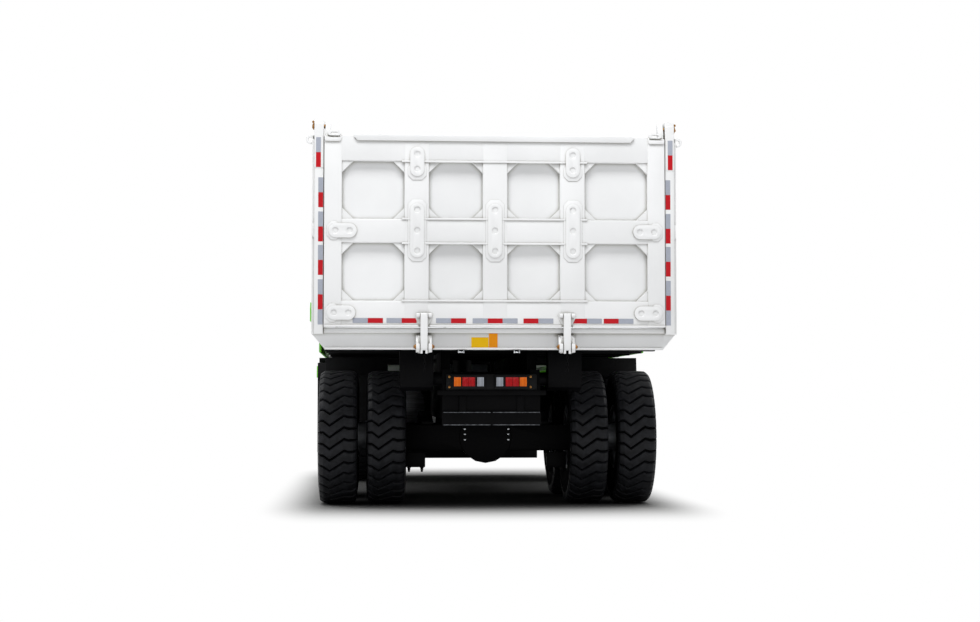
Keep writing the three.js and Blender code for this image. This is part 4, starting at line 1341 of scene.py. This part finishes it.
def nuts(face_x):
    nut = joined(hex_bolt((face_x, 0.0, 0.153), 0.036, 0.026, AXLE_X))
    return ring_of(nut, 10)


def hub(start_x, face_x, end_x):
    profile = [
        (start_x, 0.088), (start_x, 0.142), (start_x + 0.02, 0.150), (face_x - 0.02, 0.150),
        (face_x, 0.136), (end_x - 0.050, 0.130), (end_x - 0.046, 0.119), (end_x - 0.014, 0.115),
        (end_x - 0.004, 0.100), (end_x, 0.070), (end_x + 0.004, 0.030), (end_x + 0.004, 0.004),
        (start_x, 0.004),
    ]
    return spun(profile)


twin_wheel = joined(
    [rim(1.598), rim(1.082), disc(1.508, 1), disc(1.172, -1), hub(1.135, 1.545, 1.640), nuts(1.541)]
)
front_wheel = joined([rim(1.450), disc(1.520, 1), hub(1.190, 1.557, 1.598), nuts(1.553)])
for row in ("front", "middle", "rear"):
    for name in ("left", "right"):
        node = f"{row}_{name}_rim" if row == "front" else f"{row}_{name}_rims"
        low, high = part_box(node)
        pattern_piece = front_wheel if row == "front" else twin_wheel
        wheel = copy_of(pattern_piece, (0.0, (low.y + high.y) / 2, TYRE_RADIUS))
        if name == "left":
            right_hand = wheel
            wheel = mirrored(right_hand)
            bpy.data.objects.remove(right_hand)
        body = body_of(frame["nodes"][node])[0]
        deliver(wheel, f"{row}_{name}_wheel_disc", wheel_paint, body, [node], 30)
bpy.data.objects.remove(twin_wheel)
bpy.data.objects.remove(front_wheel)

# %% [markdown]
# The driver's seat: foam cushions in woven cloth on a suspension base. A cushion starts as a block cut
# into a grid, its faces are crowned, its sides are pulled in between the corners, and a subdivision
# surface rounds it.


# %% Driver's seat
def cushion(low, high, crown, channels=(), lean=0.0):
    pad = start_block(low, high)
    edit(pad)
    bpy.ops.mesh.subdivide(number_cuts=9)
    bpy.ops.object.mode_set(mode="OBJECT")
    middle = [(a + b) / 2 for a, b in zip(low, high)]
    half = [(b - a) / 2 for a, b in zip(low, high)]
    flat_axis = half.index(min(half))
    spans = [i for i in range(3) if i != flat_axis]
    for vertex in pad.data.vertices:
        share = [(vertex.co[i] - middle[i]) / half[i] for i in range(3)]
        dome = (1 - share[spans[0]] ** 2) * (1 - share[spans[1]] ** 2)
        pinch = 0.010 * (1 - share[spans[0]] ** 4) if abs(share[spans[1]]) > 0.99 else 0.0
        vertex.co[spans[1]] -= math.copysign(pinch, share[spans[1]])
        rise = crown * (dome - 0.55)
        for channel in channels:
            depth = 0.010 * math.exp(-(((share[spans[1]] - channel) / 0.07) ** 2))
            rise -= depth * (1 - share[spans[0]] ** 8)
        vertex.co[flat_axis] += rise * share[flat_axis]
    if lean:
        for vertex in pad.data.vertices:
            vertex.co.y -= (vertex.co.z - low[2]) * lean
    soften(pad, 12, 2)
    apply_modifier(pad, "SUBSURF", levels=1, render_levels=1)
    return pad


SEAT_X = -1.220
seat_pads = {
    "seat_cushion": cushion(
        (SEAT_X - 0.250, 2.735, 2.150), (SEAT_X + 0.250, 3.235, 2.262), 0.020, (-0.45, 0.35),
    ),
    "seat_back": cushion(
        (SEAT_X - 0.240, 2.640, 2.240), (SEAT_X + 0.240, 2.735, 2.880), 0.020, (-0.5, 0.0, 0.5), 0.085,
    ),
    "head_rest": cushion((SEAT_X - 0.130, 2.556, 2.905), (SEAT_X + 0.130, 2.632, 3.070), 0.014),
}
for name, pad in seat_pads.items():
    deliver(pad, name, seat_cloth, "chassis", ["driver_seat"])
base_parts = [
    block((SEAT_X - 0.175, 2.780, 1.765), (SEAT_X + 0.175, 3.150, 1.830), 10, 3),
    block((SEAT_X - 0.225, 2.760, 2.118), (SEAT_X + 0.225, 3.210, 2.150), 8, 2),
    block((SEAT_X - 0.215, 2.650, 2.120), (SEAT_X + 0.215, 2.765, 2.235), 10, 2),
]
for i in range(7):
    z = 1.832 + i * 0.041
    inset = 0.0 if i % 2 else 0.018
    base_parts.append(
        block(
            (SEAT_X - 0.150 + inset, 2.800 + inset, z),
            (SEAT_X + 0.150 - inset, 3.130 - inset, z + 0.041), 8, 2,
        )
    )
for x in (-0.055, 0.055):
    base_parts.append(round_pin((SEAT_X + x, 2.640, 2.840), (SEAT_X + x, 2.594, 2.930), 0.008, 1, 16))
deliver(base_parts, "seat_base", black_plastic, "chassis", ["driver_seat"])

# %% [markdown]
# Round equipment is turned afresh, with enough sides to look round: the fuel tank with its straps and
# cap, the air cleaner with its clamp bands, the silencer with its pipe, and the handrails with their
# posts.

# %% Tank, air cleaner, exhaust and handrails
tank_low, tank_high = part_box("fuel_tank")
tank_radius = (tank_high.z - tank_low.z) / 2
tank_x, tank_z = tank_low.x + tank_radius, (tank_low.z + tank_high.z) / 2
tank = [round_pin((tank_x, tank_low.y, tank_z), (tank_x, tank_high.y, tank_z), tank_radius, 22, 64)]
deliver(tank, "fuel_tank_rolled_sheet", tank_aluminium, "chassis", ["fuel_tank"])
tank_fit = []
for y in (tank_low.y + 0.240, tank_high.y - 0.260):
    tank_fit.append(washer((tank_x, y, tank_z), tank_radius + 0.006, tank_radius - 0.004, 0.070, "Y", 64))
    tank_fit.append(
        block(
            (tank_x + tank_radius - 0.060, y - 0.045, tank_z - 0.240),
            (-0.512, y + 0.045, tank_z + 0.200), 6, 2,
        )
    )
tank_fit.append(
    round_pin(
        (tank_x - 0.10, 0.90, tank_z + tank_radius - 0.020),
        (tank_x - 0.10, 0.90, tank_z + tank_radius + 0.045), 0.060, 5, 32,
    )
)
deliver(tank_fit, "fuel_tank_straps", black_plastic, "chassis")

cleaner_low, cleaner_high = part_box("air_cleaner")
cx, cy = (cleaner_low.x + cleaner_high.x) / 2, (cleaner_low.y + cleaner_high.y) / 2
cleaner = [
    round_pin((cx, cy, cleaner_low.z + 0.040), (cx, cy, 2.500), 0.230, 24, 64),
    round_pin((cx, cy, 2.470), (cx, cy, 2.760), 0.090, 3, 40),
    round_pin((cx, cy, 2.740), (cx, cy, cleaner_high.z), 0.150, 22, 48),
    block((cx - 0.260, cy - 0.120, cleaner_low.z), (cx + 0.260, cy + 0.120, cleaner_low.z + 0.050), 8, 2),
]
for i in range(24):
    slot = start_block((cx + 0.1380, cy - 0.006, 2.752), (cx + 0.1530, cy + 0.006, 2.842))
    cleaner.append(turned(slot, math.tau * i / 24, "Z", (cx, cy, 0.0)))
deliver(cleaner, "air_cleaner_turned", black_plastic, "chassis", ["air_cleaner"])
bands = [washer((cx, cy, z), 0.234, 0.228, 0.034, "Z", 64) for z in (1.960, 2.360)]
deliver(bands, "air_cleaner_bands", bare_steel, "chassis")

pipe_low, pipe_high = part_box("exhaust")
px, py = (pipe_low.x + pipe_high.x) / 2, (pipe_low.y + pipe_high.y) / 2
silencer = [
    round_pin((px, py, pipe_low.z), (px, py, 3.050), 0.110, 18, 56),
    round_pin((px, py, 3.030), (px, py, pipe_high.z - 0.012), 0.060, 2, 40),
    washer((px, py, 3.075), 0.072, 0.058, 0.030, "Z", 40),
    washer((px, py, pipe_low.z + 0.014), 0.135, 0.100, 0.024, "Z", 40),
]
silencer.append(washer((px, py - 0.004, pipe_high.z - 0.006), 0.066, 0.0, 0.008, "Z", 40))
deliver(silencer, "exhaust_turned", exhaust_steel, "chassis", ["exhaust"])

rail_low, rail_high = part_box("handrails")
left_x, right_x = rail_low.x + 0.022, rail_high.x - 0.022
front_y, rear_y = rail_high.y - 0.022, rail_low.y + 0.022
posts = [(left_x, front_y), (right_x, front_y), (right_x, 3.095), (right_x, rear_y)]
railing = [round_pin((x, y, rail_low.z), (x, y, rail_high.z - 0.004), 0.021, 4, 20) for x, y in posts]
railing += [round_pin((x, y, rail_low.z), (x, y, rail_low.z + 0.012), 0.048, 2, 24) for x, y in posts]
for z in (rail_low.z + 0.560, rail_low.z + 1.080):
    railing.append(round_pin((left_x, front_y, z), (right_x, front_y, z), 0.020, 4, 20))
    railing.append(round_pin((right_x, front_y, z), (right_x, rear_y, z), 0.020, 4, 20))
deliver(railing, "handrails_tube", green_enamel, "chassis", ["handrails"])

# %% [markdown]
# The front: louvres in the grille and the bumper, round headlamps in their pockets, an apron under the
# bumper, and amber markers, with one beacon up on the guard. The apron is a real part, but it hangs lower
# than one needs to, down to 0.25 m, so that as a dark sheet it also gives painted shade under the truck.

# %% Grille, bumper and headlamps
bumper_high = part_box("bumper")[1]
PANEL_FRONT = bumper_high.y - 0.120
BUMPER_FRONT = bumper_high.y
louvres = []
for i in range(8):
    z = 1.405 + i * 0.054
    blade_outline = [
        (PANEL_FRONT - 0.075, z + 0.034), (PANEL_FRONT - 0.010, z), (PANEL_FRONT - 0.006, z + 0.010),
        (PANEL_FRONT - 0.071, z + 0.044),
    ]
    louvres.append(slab(blade_outline, -0.178, 0.898, 2, 1))
for i in range(6):
    z = 0.815 + i * 0.050
    louvres.append(block((-0.698, BUMPER_FRONT - 0.068, z), (0.698, BUMPER_FRONT - 0.022, z + 0.022), 4, 2))
for x in (-0.025, 0.355, 0.735):
    louvres.append(
        block((x - 0.008, PANEL_FRONT - 0.080, 1.382), (x + 0.008, PANEL_FRONT - 0.040, 1.838), 2, 1)
    )
# Painted shade: the apron is a dark sheet hung down to 0.25 m to darken the space under the truck.
louvres.append(block((-1.240, 4.200, 0.250), (1.240, 4.226, 0.735), 10, 3))
for side in (-1, 1):
    louvres.append(
        side_block(side, (1.252, BUMPER_FRONT - 0.068, 0.922), (1.678, BUMPER_FRONT - 0.050, 1.118), 4, 2)
    )
deliver(louvres, "grille_and_shade_apron", black_plastic, "chassis")

head_lenses, head_bezels, side_markers = [], [], []
for side in (-1, 1):
    for x in (1.350, 1.515):
        head_lenses.append(
            round_pin(
                (side * x, BUMPER_FRONT - 0.056, 1.020), (side * x, BUMPER_FRONT - 0.016, 1.020), 0.074,
                14, 40,
            )
        )
        head_bezels.append(washer((side * x, BUMPER_FRONT - 0.042, 1.020), 0.080, 0.070, 0.030, "Y", 40))
    side_markers.append(
        side_block(side, (1.612, BUMPER_FRONT - 0.058, 0.950), (1.664, BUMPER_FRONT - 0.020, 1.090), 8, 3)
    )
for x in (-1.60, -1.10, -0.60):
    side_markers.append(block((x - 0.040, 3.930, 3.410), (x + 0.040, 3.990, 3.452), 10, 3))
beacon = round_pin((1.450, 3.450, 3.810), (1.450, 3.450, 3.915), 0.050, 20, 32)
beacon_base = round_pin((1.450, 3.450, 3.786), (1.450, 3.450, 3.816), 0.062, 4, 32)
deliver(head_lenses, "head_lamp_glass", lens_clear, "chassis")
deliver(beacon, "beacon_lens", lens_amber, "bed")
deliver(beacon_base, "beacon_base", black_plastic, "bed")
deliver(head_bezels, "head_lamp_rings", bare_steel, "chassis")
deliver(side_markers, "amber_markers", lens_amber, "chassis")


# %% [markdown]
# Rubber seals frame the windows, each as four strips. The windscreen leans back, so its seal and its
# wipers are built upright and then sheared to the slope of the glass. The hood has nine side louvres.


# %% Seals, wipers, mirror glass and hood louvres
GLASS_FOOT, GLASS_SLOPE = 2.420, 0.1735


def seal(low, high, thin, width=0.024):
    """Four strips round a window opening. thin is the axis that the seal is thin along."""
    across = [i for i in range(3) if i != thin]
    strips = []
    for i, other in (across, across[::-1]):
        for end in (low[i] - width / 2, high[i] - width / 2):
            a, b = list(low), list(high)
            a[i], b[i] = end, end + width
            a[other], b[other] = low[other] - width / 2, high[other] + width / 2
            strips.append(block(a, b, 3, 2))
    return joined(strips)


def lean_with_glass(piece):
    for vertex in piece.data.vertices:
        vertex.co.y -= (vertex.co.z - GLASS_FOOT) * GLASS_SLOPE
    return piece


door_low, door_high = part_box("door_glass")
seals = [
    lean_with_glass(seal((-1.750, 4.148, 2.480), (-0.450, 4.162, 3.250), 1)),
    seal((-0.346, 2.795, 2.480), (-0.333, 3.655, 3.240), 0),
    seal((-1.600, 2.308, 2.560), (-0.600, 2.320, 3.200), 1),
]
for x in (-1.460, -0.860):
    seals.append(lean_with_glass(round_pin((x, 4.172, 2.445), (x + 0.140, 4.172, 2.900), 0.008, 1, 12)))
    seals.append(
        lean_with_glass(block((x + 0.128, 4.158, 2.560), (x + 0.146, 4.172, 3.120), 3, 1))
    )
    seals.append(round_pin((x, 4.140, 2.445), (x, 4.182, 2.445), 0.018, 2, 20))
for i in range(9):
    y = 2.95 + i * 0.09
    seals.append(block((0.956, y, 2.060), (0.966, y + 0.050, 2.300), 4, 2))
deliver(seals, "cab_seals_and_wipers", black_plastic, "chassis")
door_grip = block((-1.894, 2.768, 2.374), (-1.866, 2.912, 2.426), 8, 3)
door_seal = seal((-1.866, door_low.y, door_low.z), (-1.857, door_high.y, door_high.z), 0)
deliver([door_seal, door_grip], "door_seal_and_handle", black_plastic, "cab_door")

mirror_glass = []
for node in ("mirror_left", "mirror_right"):
    low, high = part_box(node)
    high_x = low.x + 0.220
    mirror_glass.append(
        block(
            (low.x + 0.018, low.y - 0.002, high.z - 0.560),
            (high_x - 0.018, low.y + 0.004, high.z - 0.020), 1.5, 1,
        )
    )
deliver(mirror_glass, "mirror_glass", hoist_chrome, "chassis")

# %% [markdown]
# The guard over the cab has folded ribs along its top, and the hydraulic tank has a filler cap and a
# sight tube.

# %% Guard ribs and tank fittings
guard_ribs = []
for x in (-1.36, -0.68, 0.0, 0.68, 1.36):
    rib_outline = [(x - 0.060, 3.788), (x - 0.040, 3.816), (x + 0.040, 3.816), (x + 0.060, 3.788)]
    guard_ribs.append(panel(rib_outline, 1.840, 3.580, 4))
deliver(guard_ribs, "guard_ribs", white_enamel, "bed")

hydraulic_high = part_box("hydraulic_tank")[1]
filler = [
    round_pin((0.90, 0.20, hydraulic_high.z - 0.004), (0.90, 0.20, hydraulic_high.z + 0.050), 0.055, 5, 32),
    round_pin(
        (hydraulic_high.x + 0.004, 0.60, 0.950), (hydraulic_high.x + 0.004, 0.60, 1.200), 0.012, 2, 20,
    ),
]
deliver(filler, "hydraulic_tank_fittings", bare_steel, "chassis")
